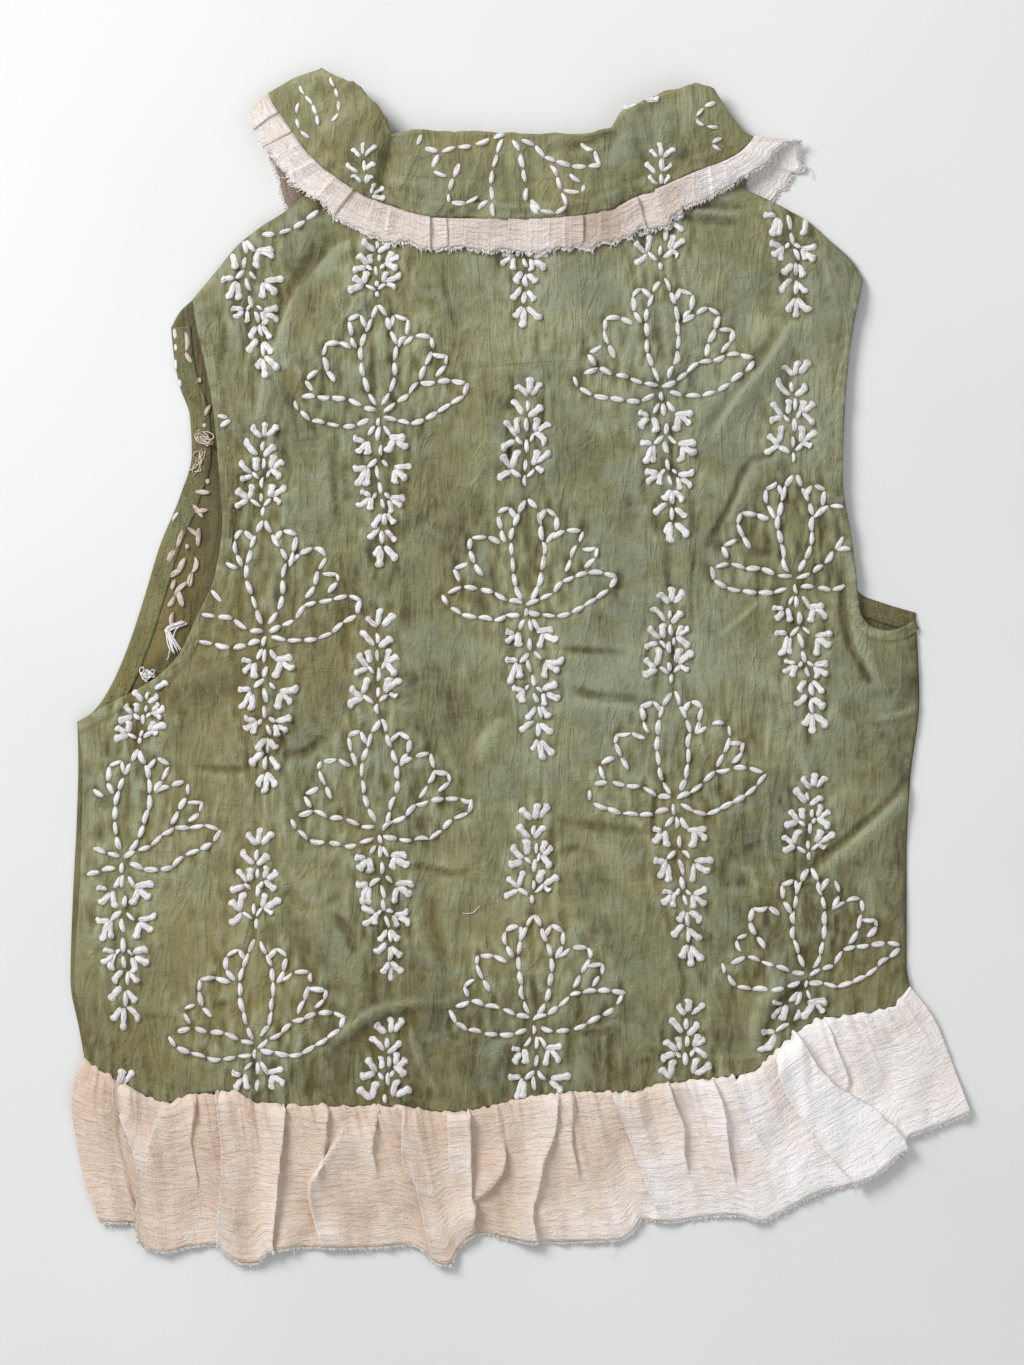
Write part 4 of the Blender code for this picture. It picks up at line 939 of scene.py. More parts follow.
# How it lies, seam, roll, outer edge and frill's edge of each section, and how far its fall curves inwards
COLLAR_SECTIONS = (
    ("under", (-2, 158), (-2, 182), (-2, 137), (-2, 119), 0),
    ("under", (-50, 205), (-36, 224), (-64, 181), (-73, 166), 0),
    ("under", (-88, 250), (-70, 268), (-107, 229), (-121, 217), 0),
    ("under", (-99, 268), (-92, 298), (-125, 274), (-137, 267), 0),
    ("tuck", (-101, 272.5), (-102.5, 319), (-134.5, 302), (-145, 293), 0),
    ("turn", (-104.5, 275), (-109, 327), (-138.5, 314), (-148, 304.5), -1.8),
    ("bend", (-103.5, 274.4), (-107, 325.5), (-137, 309.5), (-147, 301), -1.6),
    ("side", (-101.2, 273), (-100, 321.5), (-130, 299), (-143.2, 292), -1),
    ("horn", (-97, 270.5), (-91, 318.5), (-115.5, 279), (-130, 272), 0),
    ("horn", (-89, 266.5), (-80, 308.5), (-98.5, 265), (-110, 253), 0),
    ("horn", (-81, 264), (-74, 300), (-87, 258), (-94.5, 242.5), 0),
    ("upper", (-72, 261.5), (-71, 291), (-75.5, 253), (-79, 235.5), 0),
    ("upper", (-45, 258.5), (-45, 293), (-44, 245), (-44, 227.5), 0),
    ("upper", (0, 257), (0, 291), (0, 244.5), (0, 227), 0),
    ("upper", (30, 257.5), (29, 291.5), (29, 246), (29, 228.5), 0),
    ("upper", (50, 259), (49.5, 293.5), (51, 250.5), (52, 232.5), 0),
    ("horn", (59, 260.5), (55.5, 304), (60, 255), (63, 237), 0),
    ("horn", (73, 264), (66, 308.5), (73, 260.5), (78, 242), 0),
    ("horn", (89, 268.5), (85, 315.5), (95, 270), (95, 254.5), 2),
    ("side", (97, 272.2), (97.5, 318), (116.5, 279), (124, 269), 5),
    ("bend", (100.5, 274.2), (103, 316.5), (126, 287.5), (148.5, 287.5), 6),
    ("turn", (102, 275), (104.5, 315), (128, 290.5), (152, 288), 6.5),
    ("tuck", (98.5, 272), (99, 308), (126, 282), (151.5, 277), 3),
    ("under", (96.5, 268), (90, 294), (123, 262), (140, 257), 0),
    ("under", (86, 248), (69, 267), (106, 228), (120, 216), 0),
    ("under", (50, 205), (36, 224), (64, 181), (73, 166), 0),
    ("under", (2, 158), (2, 182), (2, 137), (2, 119), 0),
)
COLLAR_COLUMNS, COLLAR_ROWS = 560, 60
COLLAR_WALL = 0.5
# The sections with the left and the right turned end, in the table's order
LEFT_TURN, RIGHT_TURN = 5, 21
collar_rows = []
for layer, seam, roll, edge, frill, dip in COLLAR_SECTIONS:
    lie = LAYERS[layer]
    collar_rows.append((*edge, lie["edge"], *seam, lie["seam"], *roll, lie["roll"], *frill, lie["frill"],
                        lie["radius"], lie["faces"], dip))
collar_rows = np.array(collar_rows, float)
collar_steps = np.linalg.norm(np.diff(collar_rows[:, :2], axis=0), axis=1)
collar_knots = np.concatenate([[0.0], np.cumsum(collar_steps)])


def collar_at(u):
    """Edge, seam, roll, frill, radius, outward and right-side directions and dip at places along it."""
    row = along(collar_rows, u)
    edge, seam, roll, frill = row[:, 0:3], row[:, 3:6], row[:, 6:9], row[:, 9:12]
    outwards = unit((roll - (seam + edge) / 2) * (1.0, 1.0, 0.0))
    side = unit(np.column_stack([leftwards(roll - edge), np.zeros(len(u))]))
    side *= np.sign(roll[:, 0] * side[:, 0])[:, None]
    faces = np.radians(row[:, 13])[:, None]
    right_side = np.cos(faces) * side + np.sin(faces) * np.array([0.0, 0.0, 1.0])
    return edge, seam, roll, frill, row[:, 12:13], outwards, right_side, row[:, 14:15]


def section_at(u):
    """Which of the sections these places along the collar are at, counted from 0."""
    return np.interp(u * collar_knots[-1], collar_knots, np.arange(len(collar_knots)))


# The shares of the strip's width where it leaves the stand for the roll, and the roll for the fall
ROLL_START, ROLL_END = 0.36, 0.62
places = np.arange(COLLAR_COLUMNS + 1) / COLLAR_COLUMNS
edge, seam, roll, frill, radius, outwards, right_side, dip = collar_at(places)
centre = roll - radius * outwards
across = np.linspace(0, 1, COLLAR_ROWS + 1)
shape = (COLLAR_COLUMNS + 1, COLLAR_ROWS + 1)
collar_points = np.zeros((*shape, 3))
for row, v in enumerate(across):
    turn = np.radians(np.interp(v, (ROLL_START, ROLL_END), (-90, 90)))
    on_roll = centre + radius * (math.cos(turn) * outwards + math.sin(turn) * right_side)
    up, down = min(v / ROLL_START, 1.0), max((v - ROLL_END) / (1 - ROLL_END), 0.0)
    point = seam + (on_roll - seam) * smoothstep(up) ** 0.8 if up < 1 else on_roll
    collar_points[:, row] = point + (edge - point) * down - dip * 4 * down * (1 - down) * outwards
collar_up = unit(np.cross(np.gradient(collar_points, axis=0), np.gradient(collar_points, axis=1)))
section = section_at(places)
seen = smoothstep((section - LEFT_TURN - 1) / 2) * smoothstep((RIGHT_TURN - 1 - section) / 2)
COLLAR_CREASES = (
    (((-77.6, 270), (-66.5, 264), (-52, 262.5)), 1.0, 1.6), (((-74, 296), (-80, 284)), -1.6, 3.2),
    (((-71, 290), (-77, 262)), -1.5, 3.0), (((-78, 264), (-68, 257)), -0.9, 1.4),
    (((-86, 268), (-74, 259)), 0.9, 1.5), (((85, 280), (92, 303)), 0.8, 1.3),
    (((50, 293), (43.5, 287), (30, 284), (17, 282)), -1.5, 2.2), (((48, 287), (32, 279)), 0.9, 3.0),
    (((-34.6, 255.5), (-17, 253.8)), -1.0, 1.4), (((-12, 249), (0, 249)), -0.8, 1.2),
    (((-128, 308), (-123, 322)), -1.0, 2.0), (((-113, 310), (-108, 324)), -1.1, 1.8),
    (((-119, 306), (-115, 322)), 0.9, 2.2), (((-134, 304), (-124, 313)), 0.8, 1.6),
    (((-105, 293), (-92, 304), (-84, 306)), 0.8, 3.5), (((-100, 283), (-86, 272)), -0.7, 2.2),
    (((72, 302), (80, 270)), 0.7, 3.0), (((62, 296), (70, 268)), -0.9, 2.6),
    (((90, 276), (96, 292), (100, 306)), -0.9, 2.0), (((104, 280), (112, 292)), 0.8, 2.0),
    (((20, 290), (24, 262)), 0.5, 3.0), (((-22, 288), (-26, 258)), 0.5, 3.0),
    (((-58, 286), (-62, 268)), 0.6, 3.0), (((38, 276), (42, 258)), -0.6, 2.4),
)
collar_relief = 0.16 * crumple(17, 6, 12) + 0.16 * crumple(18, 12, 6, 0.5)
add_folds(collar_relief, COLLAR_CREASES)
# A ridge and a groove run along the outer edge, where it is turned in and stitched
fall_line = along(collar_rows[:, :3], np.linspace(0.3, 0.83, 200))[:, :2]
fall_gap = gap_to(grid_x, grid_y, fall_line)[0]
collar_relief += 0.55 * np.exp(-(((fall_gap - 7.0) / 1.4) ** 2))
collar_relief -= 0.35 * np.exp(-(((fall_gap - 9.6) / 1.1) ** 2))
collar_relief += 0.3 * crumple(19, 4, 4) * smoothstep((8.0 - fall_gap) / 2.0)
wrinkles = 0.26 * ripples(41, shape, 5, 9) + 0.42 * ripples(42, shape, 11, 8)
wrinkles += 0.2 * ripples(40, shape, 22, 3)
on_fall = at(collar_relief, collar_points[:, :, 0], collar_points[:, :, 1]) * seen[:, None]
on_fall *= smoothstep((across - 0.5) / 0.15)[None, :]
collar_points += collar_up * (wrinkles * (0.25 + 0.75 * seen[:, None]))[:, :, None]
collar_points[:, :, 2] += on_fall * 1.3
# Painted light on the fall's ridges, and painted shade, a little browner, in its hollows
collar_tone = 0.08 + 0.05 * ripples(43, shape, 20, 10) + np.clip(0.2 * on_fall, -0.3, 0.25)
collar_values = {"tone": collar_tone.ravel(),
                 "warm": np.clip(0.25 + 0.2 * ripples(44, shape, 30, 14) - 0.1 * on_fall, -0.1, 1).ravel(),
                 "painted_shade": np.clip(-0.35 * on_fall, 0, 0.7).ravel()}
collar_faces = grid_faces(COLLAR_COLUMNS, COLLAR_ROWS)
collar = add_piece("collar_cloth", collar_points.reshape(-1, 3), collar_faces, green_outside,
                   ["collar"], collar_values, COLLAR_WALL)


# The frills: gathered strips of cream muslin, torn along the grain and left raw. One is pleated to the
# collar's edge, and a deeper one is gathered to the hem and has fallen into long uneven folds.
def fallen(folds, u, v, length):
    """Shift along a strip and lift of its points where its folds lie over, each with one side on top.

    A fold has its places along the strip at shares of its depth, height, half-width, how far it lies over,
    to the right where positive, and the shares of the depth where it starts and ends."""
    shift = np.zeros(u.shape)
    lift = np.zeros(u.shape)
    for places, heights, rise, width, over, start, end in folds:
        gap = (u - np.interp(v, heights, places)) * length
        t = gap / width * (1 if over > 0 else -1)
        share = smoothstep((v - start) / 0.14 + 0.01) * smoothstep((end - v) / 0.2)
        shift -= np.sign(over) * share * abs(over) * width * 2.33 * t * np.exp(-t * t)
        lift += share * rise * smoothstep((t + 0.6) / 1.2) * np.exp(-((np.maximum(t, 0) / 2.4) ** 2))
        lift += share * rise * 0.22 * np.exp(-(((t - 0.45) / 0.4) ** 2))
    return shift, lift


def add_frill(name, points, cloth, tone, material, replaced):
    """A gathered strip from a grid of points, with its places on the flat cloth and its tones."""
    columns, rows = points.shape[0] - 1, points.shape[1] - 1
    values = {"cloth": (cloth / 1000.0).reshape(-1, 3), "tone": tone.ravel()}
    piece = add_piece(name, points.reshape(-1, 3), grid_faces(columns, rows), material,
                      replaced, values, MUSLIN_WALL)


MUSLIN_WALL = 0.45
FRILL_EDGE = ((-231.5, -305.5), (-221, -306), (-212.5, -306.8), (-207, -318), (-196, -322), (-181, -319),
              (-169, -318.5), (-160, -325), (-152, -328.5), (-145, -328), (-139, -322.5), (-120, -319.5),
              (-103, -320), (-80, -319.5), (-61.5, -318), (-52, -322.5), (-47, -328), (-40, -329.2),
              (-35, -321), (-29, -314.5), (-20, -312), (-9, -314.5), (10, -317), (32, -316.5), (53, -315.5),
              (60.5, -311.5), (66.5, -304.5), (82.5, -305.5), (100, -303), (118, -302), (132.5, -305),
              (142, -300.5), (151, -296), (163, -289.5), (179, -286), (190, -282), (198.5, -277), (205, -271),
              (210.5, -266), (213, -259), (224.5, -254.5), (236, -250), (247, -245))
FRILL_LEFT_END = ((-240, -216.5), (-245.5, -228), (-247, -239.5), (-245, -257.5), (-241, -277.5),
                  (-235.5, -296), (-231.5, -305.5))
FRILL_RIGHT_END = ((214, -177), (221.5, -186), (228, -196), (233.5, -209), (239, -224), (247, -245))
# Long folds, from the seam down: their line, height, half-width, how far they lie over (on their right
# side where positive), and the shares of the depth where they start and end
HEM_FOLDS = (
    (((-221, -243), (-208.5, -277.5), (-209.5, -318)), 3.4, 5.0, 1.1, -0.1, 1.3),
    (((-196, -241), (-205, -262)), 1.8, 3.5, 0.5, -0.1, 0.45),
    (((-178, -238), (-181, -262)), 1.6, 4.0, -0.4, -0.1, 0.7),
    (((-164.5, -249), (-163, -270), (-166.5, -315)), 3.0, 4.0, 0.9, -0.1, 1.3),
    (((-130, -243), (-133, -272.5), (-137.5, -318)), 3.0, 4.0, -0.8, -0.1, 1.3),
    (((-105, -244.5), (-110.5, -270)), 1.8, 3.0, -0.6, -0.1, 0.6),
    (((-94, -245.5), (-103, -263.5), (-117, -288), (-111.5, -315)), 3.0, 6.0, 0.42, 0.1, 1.1),
    (((-78, -245.5), (-82, -266.5)), 1.6, 3.0, -0.5, -0.1, 0.55),
    (((-65, -247), (-65, -273), (-57, -288)), 3.0, 4.5, 0.6, 0.0, 1.0),
    (((-40.5, -248), (-40, -270)), 1.6, 3.0, 0.4, -0.1, 0.6),
    (((-28.5, -248), (-27, -302)), 3.4, 6.0, -0.6, -0.1, 1.05),
    (((-8, -249), (-9, -272.5), (-25.5, -300)), 2.4, 4.0, -0.7, 0.25, 0.95),
    (((20.5, -238), (18.5, -257.5), (12.5, -274), (6.5, -303)), 2.6, 4.5, -0.5, -0.1, 1.1),
    (((29.5, -237), (28, -264)), 1.6, 3.0, -0.4, -0.1, 0.65),
    (((53, -238), (62.5, -264), (71, -288)), 3.0, 4.5, 0.9, -0.1, 1.0),
    (((82, -235), (89.5, -257.5), (89.5, -270)), 2.0, 3.5, -0.6, -0.1, 0.75),
    (((105.5, -229), (111.5, -247), (114.5, -273)), 2.4, 3.5, -0.7, -0.1, 0.8),
    (((117.5, -228), (130, -256)), 2.6, 4.0, 0.8, -0.1, 0.6),
    (((138.5, -214), (148, -235), (163, -257.5), (183.5, -282)), 4.0, 6.0, 0.9, 0.0, 1.3),
    (((150.5, -205), (166, -227.5), (193, -245.5), (207, -259.5), (211, -267.5)), 3.6, 5.0, -1.1, -0.1, 1.3),
    (((167, -194.5), (176.5, -218.5)), 1.8, 3.0, -0.5, -0.1, 0.6),
)
HEM_COLUMNS, HEM_ROWS = 760, 34
HEM_LENGTH, HEM_DEPTH = 520.0, 80.0
HEM_CLOTH_LENGTH = 720.0
HEM_REST, HEM_LOWEST = 2.4, 1.3
u, v = np.meshgrid(np.linspace(0, 1, HEM_COLUMNS + 1), np.linspace(0, 1, HEM_ROWS + 1), indexing="ij")
seam = along(HEM, u[:, 0])
free = along(FRILL_EDGE, u[:, 0])
flat = seam[:, None, :] * (1 - v)[:, :, None] + free[:, None, :] * v[:, :, None]
for end, side, place in ((FRILL_LEFT_END, 0, u), (FRILL_RIGHT_END, -1, 1 - u)):
    bow = along(end, v[0]) - flat[side]
    flat += np.exp(-place / 0.03)[:, :, None] * bow[None, :, :]
ends = smoothstep(np.minimum(u, 1 - u) / 0.02)
overlap = 0.9 + 0.5 * ripples(49, (HEM_COLUMNS + 1, 1), 5, 1) * ends[:, :1]
inwards = unit(flat[:, 0] - flat[:, 1])
flat += inwards[:, None, :] * (overlap * np.exp(-((v / 0.03) ** 2)))[:, :, None]
ahead = unit(np.gradient(flat, axis=0))


def fold_places(line):
    """Where a fold's line runs on the hem frill: places along it, for shares of its depth."""
    nearest = [np.argmin(((flat - point) ** 2).sum(axis=2)) for point in curve(line, 6.0)]
    shares, places = v.ravel()[nearest], u.ravel()[nearest]
    order = np.argsort(shares, kind="stable")
    return places[order], shares[order]


hem_folds = [(*fold_places(line), *rest) for line, *rest in HEM_FOLDS]
shift, lift = fallen(hem_folds, u, v, HEM_LENGTH)

# Small gathers run down from the seam between the long folds
rng = np.random.default_rng(5)
gathers = np.zeros(u.shape)
for place in np.arange(0.008, 1.0, 0.0094) + rng.uniform(-0.004, 0.004, 106):
    reach = rng.uniform(0.12, 0.5)
    wander = (u - place - rng.normal(0, 0.006) * v) * HEM_LENGTH
    ridge = np.exp(-((wander / rng.uniform(1.1, 2.2)) ** 2)) * np.exp(-((v / reach) ** 2))
    gathers += rng.choice((1.0, 1.0, -0.5)) * rng.uniform(0.6, 1.5) * ridge
flat_mm = flat + ahead * shift[:, :, None]
at_seam = at(back_surface, *seam.T)[:, None] + 0.35
folded = 1.25 * lift * smoothstep(v / 0.05) + gathers * (0.35 + 0.65 * smoothstep(v / 0.04))
height = HEM_REST + (at_seam - HEM_REST) * (1 - smoothstep(v / 0.75))
height += ends * folded + 0.75 * ripples(51, u.shape, 24, 12) * smoothstep(v / 0.25)
height += 0.16 * ripples(52, u.shape, 9, 1.6) * smoothstep(v / 0.1) + 0.5 * ripples(50, u.shape, 11, 8) * v
height = np.maximum(height, HEM_LOWEST)
cloth = np.stack([u * HEM_CLOTH_LENGTH, v * HEM_DEPTH, np.zeros(u.shape)], axis=2)
hem_tone = 0.58 * smoothstep((flat[:, :, 0] + 40) / 240) + 0.1 * smoothstep((v - 0.5) * 2)
# Painted light on the raised folds and painted shade between them
hem_tone += 0.01 + 0.07 * (lift - 1.0)
hem_points = np.concatenate([flat_mm, height[:, :, None]], axis=2)
add_frill("hem_frill_back_cloth", hem_points, cloth, hem_tone, hem_muslin, ["hem_frill_back"])

# The fronts' lengths of the frill are a little shorter, and coarser, because they lie flat below the back's
HALF = HEM_COLUMNS // 2
for name, first, last in (("hem_frill_left", 0, HALF - 2), ("hem_frill_right", HALF + 2, HEM_COLUMNS)):
    part = slice(first, last + 1, 2)
    depth = v[part, ::3]
    inset = 1 - 3.5 * depth / 75.0
    start = seam[part][:, None, :]
    under = start + (flat[part, ::3] - start) * inset[:, :, None]
    low = 0.45 + 0.12 * np.abs(ripples(53, depth.shape, 8, 6)) + 0.25 * (1 - smoothstep(depth / 0.3))
    # Their tone is a little lower: painted shade below the back's frill
    add_frill(name + "_cloth", np.concatenate([under, low[:, :, None]], axis=2), cloth[part, ::3],
              hem_tone[part, ::3] - 0.1, hem_muslin, [name])

# The collar's frill: pleats between the two turned ends, all of them lying over a little. At the left end it
# is tucked under, where it is flat and has painted shade, and its turned right end has painted light
FRILL_COLUMNS, FRILL_ROWS = 1100, 9
FRILL_CLOTH = (1100.0, 19.0, 300.0)
u, v = np.meshgrid(np.linspace(0, 1, FRILL_COLUMNS + 1), np.linspace(0, 1, FRILL_ROWS + 1), indexing="ij")
edge, _, _, frill, _, _, right_side, _ = collar_at(u[:, 0])
one_row = (FRILL_COLUMNS + 1, 1)
depth = v * (1 + 0.06 * ripples(58, one_row, 12, 1) + 0.03 * ripples(59, one_row, 3, 1))
flat = edge[:, None, :] + (frill - edge)[:, None, :] * depth[:, :, None]
ahead = unit(np.gradient(flat, axis=0))
section = section_at(u[:, 0])
seen = smoothstep((section - LEFT_TURN - 0.6) / 0.8) * smoothstep((RIGHT_TURN - 0.6 - section) / 0.8)
tucked = smoothstep((LEFT_TURN + 0.3 - section) / 0.6)
first, last = collar_knots[LEFT_TURN] / collar_knots[-1], collar_knots[RIGHT_TURN] / collar_knots[-1]
rng = np.random.default_rng(9)
pleats = []
place = first
while place < last:
    place += rng.uniform(8.0, 13.5) / collar_knots[-1]
    slant = rng.normal(0, 0.0012)
    pleats.append(((place, place + slant), (0, 1), rng.uniform(1.0, 1.9), rng.uniform(1.8, 3.6),
                   rng.choice((0.62, 0.48, -0.55, 0.3)), -0.1, rng.uniform(0.7, 1.5)))
shift, lift = fallen(pleats, u, v, collar_knots[-1])
frill_points = flat + ahead * (shift * seen[:, None])[:, :, None]
frill_points -= (frill - edge)[:, None, :] * (0.3 * tucked[:, None] * depth)[:, :, None]
lift = lift * seen[:, None] * (1 - 0.3 * v) + (0.22 * ripples(55, u.shape, 14, 5)) * seen[:, None]
lift += 0.16 * ripples(54, u.shape, 7, 3) * (0.3 + 0.7 * seen[:, None]) * smoothstep(v / 0.2)
frill_points += right_side[:, None, :] * lift[:, :, None]
cloth = np.stack([u, v, np.ones(u.shape)], axis=2) * FRILL_CLOTH
turned = smoothstep((section - RIGHT_TURN + 0.3) / 0.6)[:, None]
frill_tone = 0.06 + 0.2 * (v - 0.3) + 0.12 * ripples(56, u.shape, 60, 8)
# Painted light on the turned right end and painted shade on the tucked left end
frill_tone += 0.5 * turned - 1.15 * tucked[:, None]
frill_tone += 0.35 * seen[:, None] * smoothstep((np.abs(edge[:, :1]) - 70) / 30)
add_frill("collar_frill_cloth", frill_points, cloth, frill_tone, collar_muslin, ["collar_frill"])


# Embroidery: long stitches and bars of six loose strands of soft unbleached cotton, plump in the middle,
# pulled down into the cloth at both ends. Those that show inside the armhole are the backs of stitches.
def strand_cotton(name, light, mid, dark):
    """Cotton thread, its plies and fuzz drawn out along it; its strand attribute runs in millimetres."""
    material, shade, shader = new_material(name, 0.85, 0.25)
    strand, tone = shade.attribute("strand", "Vector"), shade.attribute("tone")
    ply = strand.stretched((1.0, 0.2, 1.0)).noise(1.15, 1.0, 0.5)
    fuzz = strand.stretched((1.0, 0.3, 1.0)).noise(9.0, 2.0, 0.6)
    level = (ply - 0.5) * 1.9 + (fuzz - 0.5) * 0.7 + tone
    base = level.between(-0.55, 0.05).mix(dark, mid)
    base = level.between(-0.05, 0.5).mix(base, light)
    finish_material(shade, shader, base, ply * 0.8 + fuzz * 0.2, 0.0016)
    return material


white_strands = strand_cotton("white_strands", (255, 254, 254), (250, 247, 246), (218, 204, 194))
pink_strands = strand_cotton("pink_strands", (240, 224, 212), (224, 202, 186), (172, 142, 120))
STITCH_SIDES = 8
# Rings of a stitch, of a bar with its knot and of a thin thread: place along it, from -1 at its start to 1
# at its end, and share of its width
PLAIN_RINGS = ((-0.92, 0.42), (-0.62, 0.8), (-0.22, 1.0), (0.22, 1.0), (0.62, 0.8), (0.92, 0.42))
KNOTTED_RINGS = ((-0.93, 0.45), (-0.6, 0.78), (-0.12, 0.86), (0.28, 0.78), (0.48, 0.9), (0.66, 1.05),
                 (0.83, 1.0), (0.97, 0.8), (1.07, 0.5), (1.11, 0.22))
THREAD_RINGS = ((-0.9, 0.6), (0.0, 1.0), (0.9, 0.6))


def add_stitches(name, rows, lie, seed, material, rings=PLAIN_RINGS, width=1.3, height=1.0, sink=0.35):
    """Stitches as one piece: rows of start x, y and end x, y, laid on the height that lie gives, with their
    rings, half-width, height and how deep their ends are pulled into the cloth."""
    rng = np.random.default_rng(seed)
    count = len(rows)
    knots = rings is KNOTTED_RINGS
    start, end = rows[:, :2], rows[:, 2:]
    length = np.linalg.norm(end - start, axis=1)[:, None]
    ahead = unit(end - start)
    across = leftwards(ahead)
    middle = (start + end) / 2
    half = length / 2 + 0.25
    wide = width * rng.uniform(0.85, 1.18, (count, 1)) * np.clip(length / 6.5, 0.85, 1.08)
    tall = height * rng.uniform(0.85, 1.15, (count, 1))
    bow = rng.normal(0, 0.4, (count, 1)) * length / 7
    stitch_tone = rng.normal(0.0, 0.07, count)
    hook = rng.choice((-1.0, 1.0), (count, 1)) * rng.uniform(0.2, 1.2, (count, 1)) * knots
    points, strands, tones = [], [], []

    def add_ring(t, share, angle):
        aside = bow * (1 - t * t) + hook * max(0.0, t - 0.4)
        on_line = middle + ahead * half * t + across * (aside + wide * share * math.cos(angle))
        ground = lie(*(middle + ahead * half * t * 0.94).T)[:, None]
        up = math.sin(angle) if angle < math.pi else 0.4 * math.sin(angle)
        pulled_in = 0.0 if knots and t >= 0 else sink * t ** 4
        z = ground + tall * (0.28 - pulled_in + share * up)
        points.append(np.column_stack([on_line, z]))
        strands.append(np.column_stack([np.full(count, wide[:, 0] * angle), half[:, 0] * t,
                                        np.arange(count) * 7.3]))
        # Painted shade: each stitch is darker towards its ends, where it dips into the cloth
        tones.append(stitch_tone - 0.22 * abs(t) ** 3)

    for t, share in rings:
        for k in range(STITCH_SIDES):
            add_ring(t, share, 2 * math.pi * k / STITCH_SIDES)
    add_ring(rings[0][0] - 0.06, 0.0, 0.0)
    add_ring(rings[-1][0] + 0.04, 0.0, 0.0)
    each = len(points)
    points = np.stack(points, axis=1).reshape(-1, 3)
    pattern = []
    last = len(rings) - 1
    for k in range(STITCH_SIDES):
        after = (k + 1) % STITCH_SIDES
        for ring in range(last):
            low, high = ring * STITCH_SIDES, (ring + 1) * STITCH_SIDES
            pattern.append((low + after, low + k, high + k, high + after))
        pattern.append((each - 2, k, after))
        pattern.append((each - 1, last * STITCH_SIDES + after, last * STITCH_SIDES + k))
    faces = [tuple(n * each + corner for corner in face) for n in range(count) for face in pattern]
    values = {"strand": np.stack(strands, axis=1).reshape(-1, 3), "tone": np.stack(tones, axis=1).ravel()}
    return add_piece(name, points, faces, material, (), values)


on_back = functools.partial(at, back_surface)
ARMHOLE_STITCHES = ((-166.6, 137, -161, 136), (-165, 131, -159.5, 134.5))
stitches = np.vstack([stitches, ARMHOLE_STITCHES])
knotted[:, :2] -= (knotted[:, 2:] - knotted[:, :2]) * 0.1
add_stitches("embroidery_stitches", stitches, on_back, 61, white_strands, PLAIN_RINGS,
             1.36, 1.15)
add_stitches("embroidery_bars", knotted, on_back, 62, white_strands, KNOTTED_RINGS,
             1.98, 1.35)


# The collar's embroidery: the same lotus, worked upside down, so that it stands the right way up when the
# collar does, with the tails of its neighbours at both sides and petals on the turned ends.
COLLAR_SPRIGS = (
    ((-7, 291.5), (-7, 410), (-7, 204)),
    ((-87, 219), (-87, 340), (-90, 151)),
    ((76, 217), (76, 338), (73, 147)),
)
COLLAR_PETALS = (
    ((-109.5, 327.5), (-105.6, 323.7), (-102.9, 318.2), (-100, 311), (-99.6, 302.8), (-104, 297.3)),
    ((-121.6, 318.2), (-117.7, 311), (-112.2, 303.3), (-111, 294.5)),
    ((-121.6, 308.8), (-123.2, 297.8), (-120.5, 292.3), (-115, 288)),
    ((-133, 318.2), (-129.8, 321.5), (-123.2, 324.2)),
    ((106.7, 308.3), (102.3, 307.2), (98.5, 303.3), (95.7, 299.5), (99, 295.6), (108.4, 294.5)),
    ((111, 289), (105.6, 286.8), (104.5, 285.7), (108.4, 282.4), (113.9, 280.2), (117.2, 278.6)),
)
COLLAR_HORN_BARS = ((63.5, 307.2, 57.0, 304.5), (66.0, 308.5, 67.2, 301.5), (68, 309, 75, 309.5))
collar_tree = BVHTree.FromPolygons([Vector(point) for point in collar_points.reshape(-1, 3)], collar_faces)


def on_collar(x, y):
    """Height of the collar's upper side, and 0 where there is none."""
    hits = [collar_tree.ray_cast(Vector((px, py, 60.0)), Vector((0.0, 0.0, -1.0)))[0] for px, py in zip(x, y)]
    return np.array([hit.z + 0.25 if hit and hit.z > 6.0 else 0.0 for hit in hits])


def kept_on_collar(rows):
    """The stitches that lie wholly on the collar's fall, clear of its frill and its roll."""
    ends = [on_collar(*(rows[:, :2] * (1 - t) + rows[:, 2:] * t).T) for t in (-0.15, 0.5, 1.15)]
    return rows[(np.min(ends, axis=0) > 0) & (np.ptp(ends, axis=0) < 2.5)]


rng = np.random.default_rng(81)
plain_rows, bar_rows = [], []
for seed, (foot, tip, tail) in enumerate(COLLAR_SPRIGS):
    for rows, kept in zip(sprig(foot, tip, tail, 90 + seed), (plain_rows, bar_rows)):
        rows[:, 1::2] = 2 * foot[1] - rows[:, 1::2]
        kept.append(rows)
plain_rows += [running_stitches(np.array(line), rng, 7.4, 6.0) for line in COLLAR_PETALS]
collar_stitches = kept_on_collar(np.concatenate(plain_rows))
collar_bars = kept_on_collar(np.concatenate([*bar_rows, COLLAR_HORN_BARS]))
add_stitches("collar_embroidery", collar_stitches, on_collar, 63, white_strands)
add_stitches("collar_bars", collar_bars, on_collar, 64, white_strands, KNOTTED_RINGS,
             1.5, 1.1)


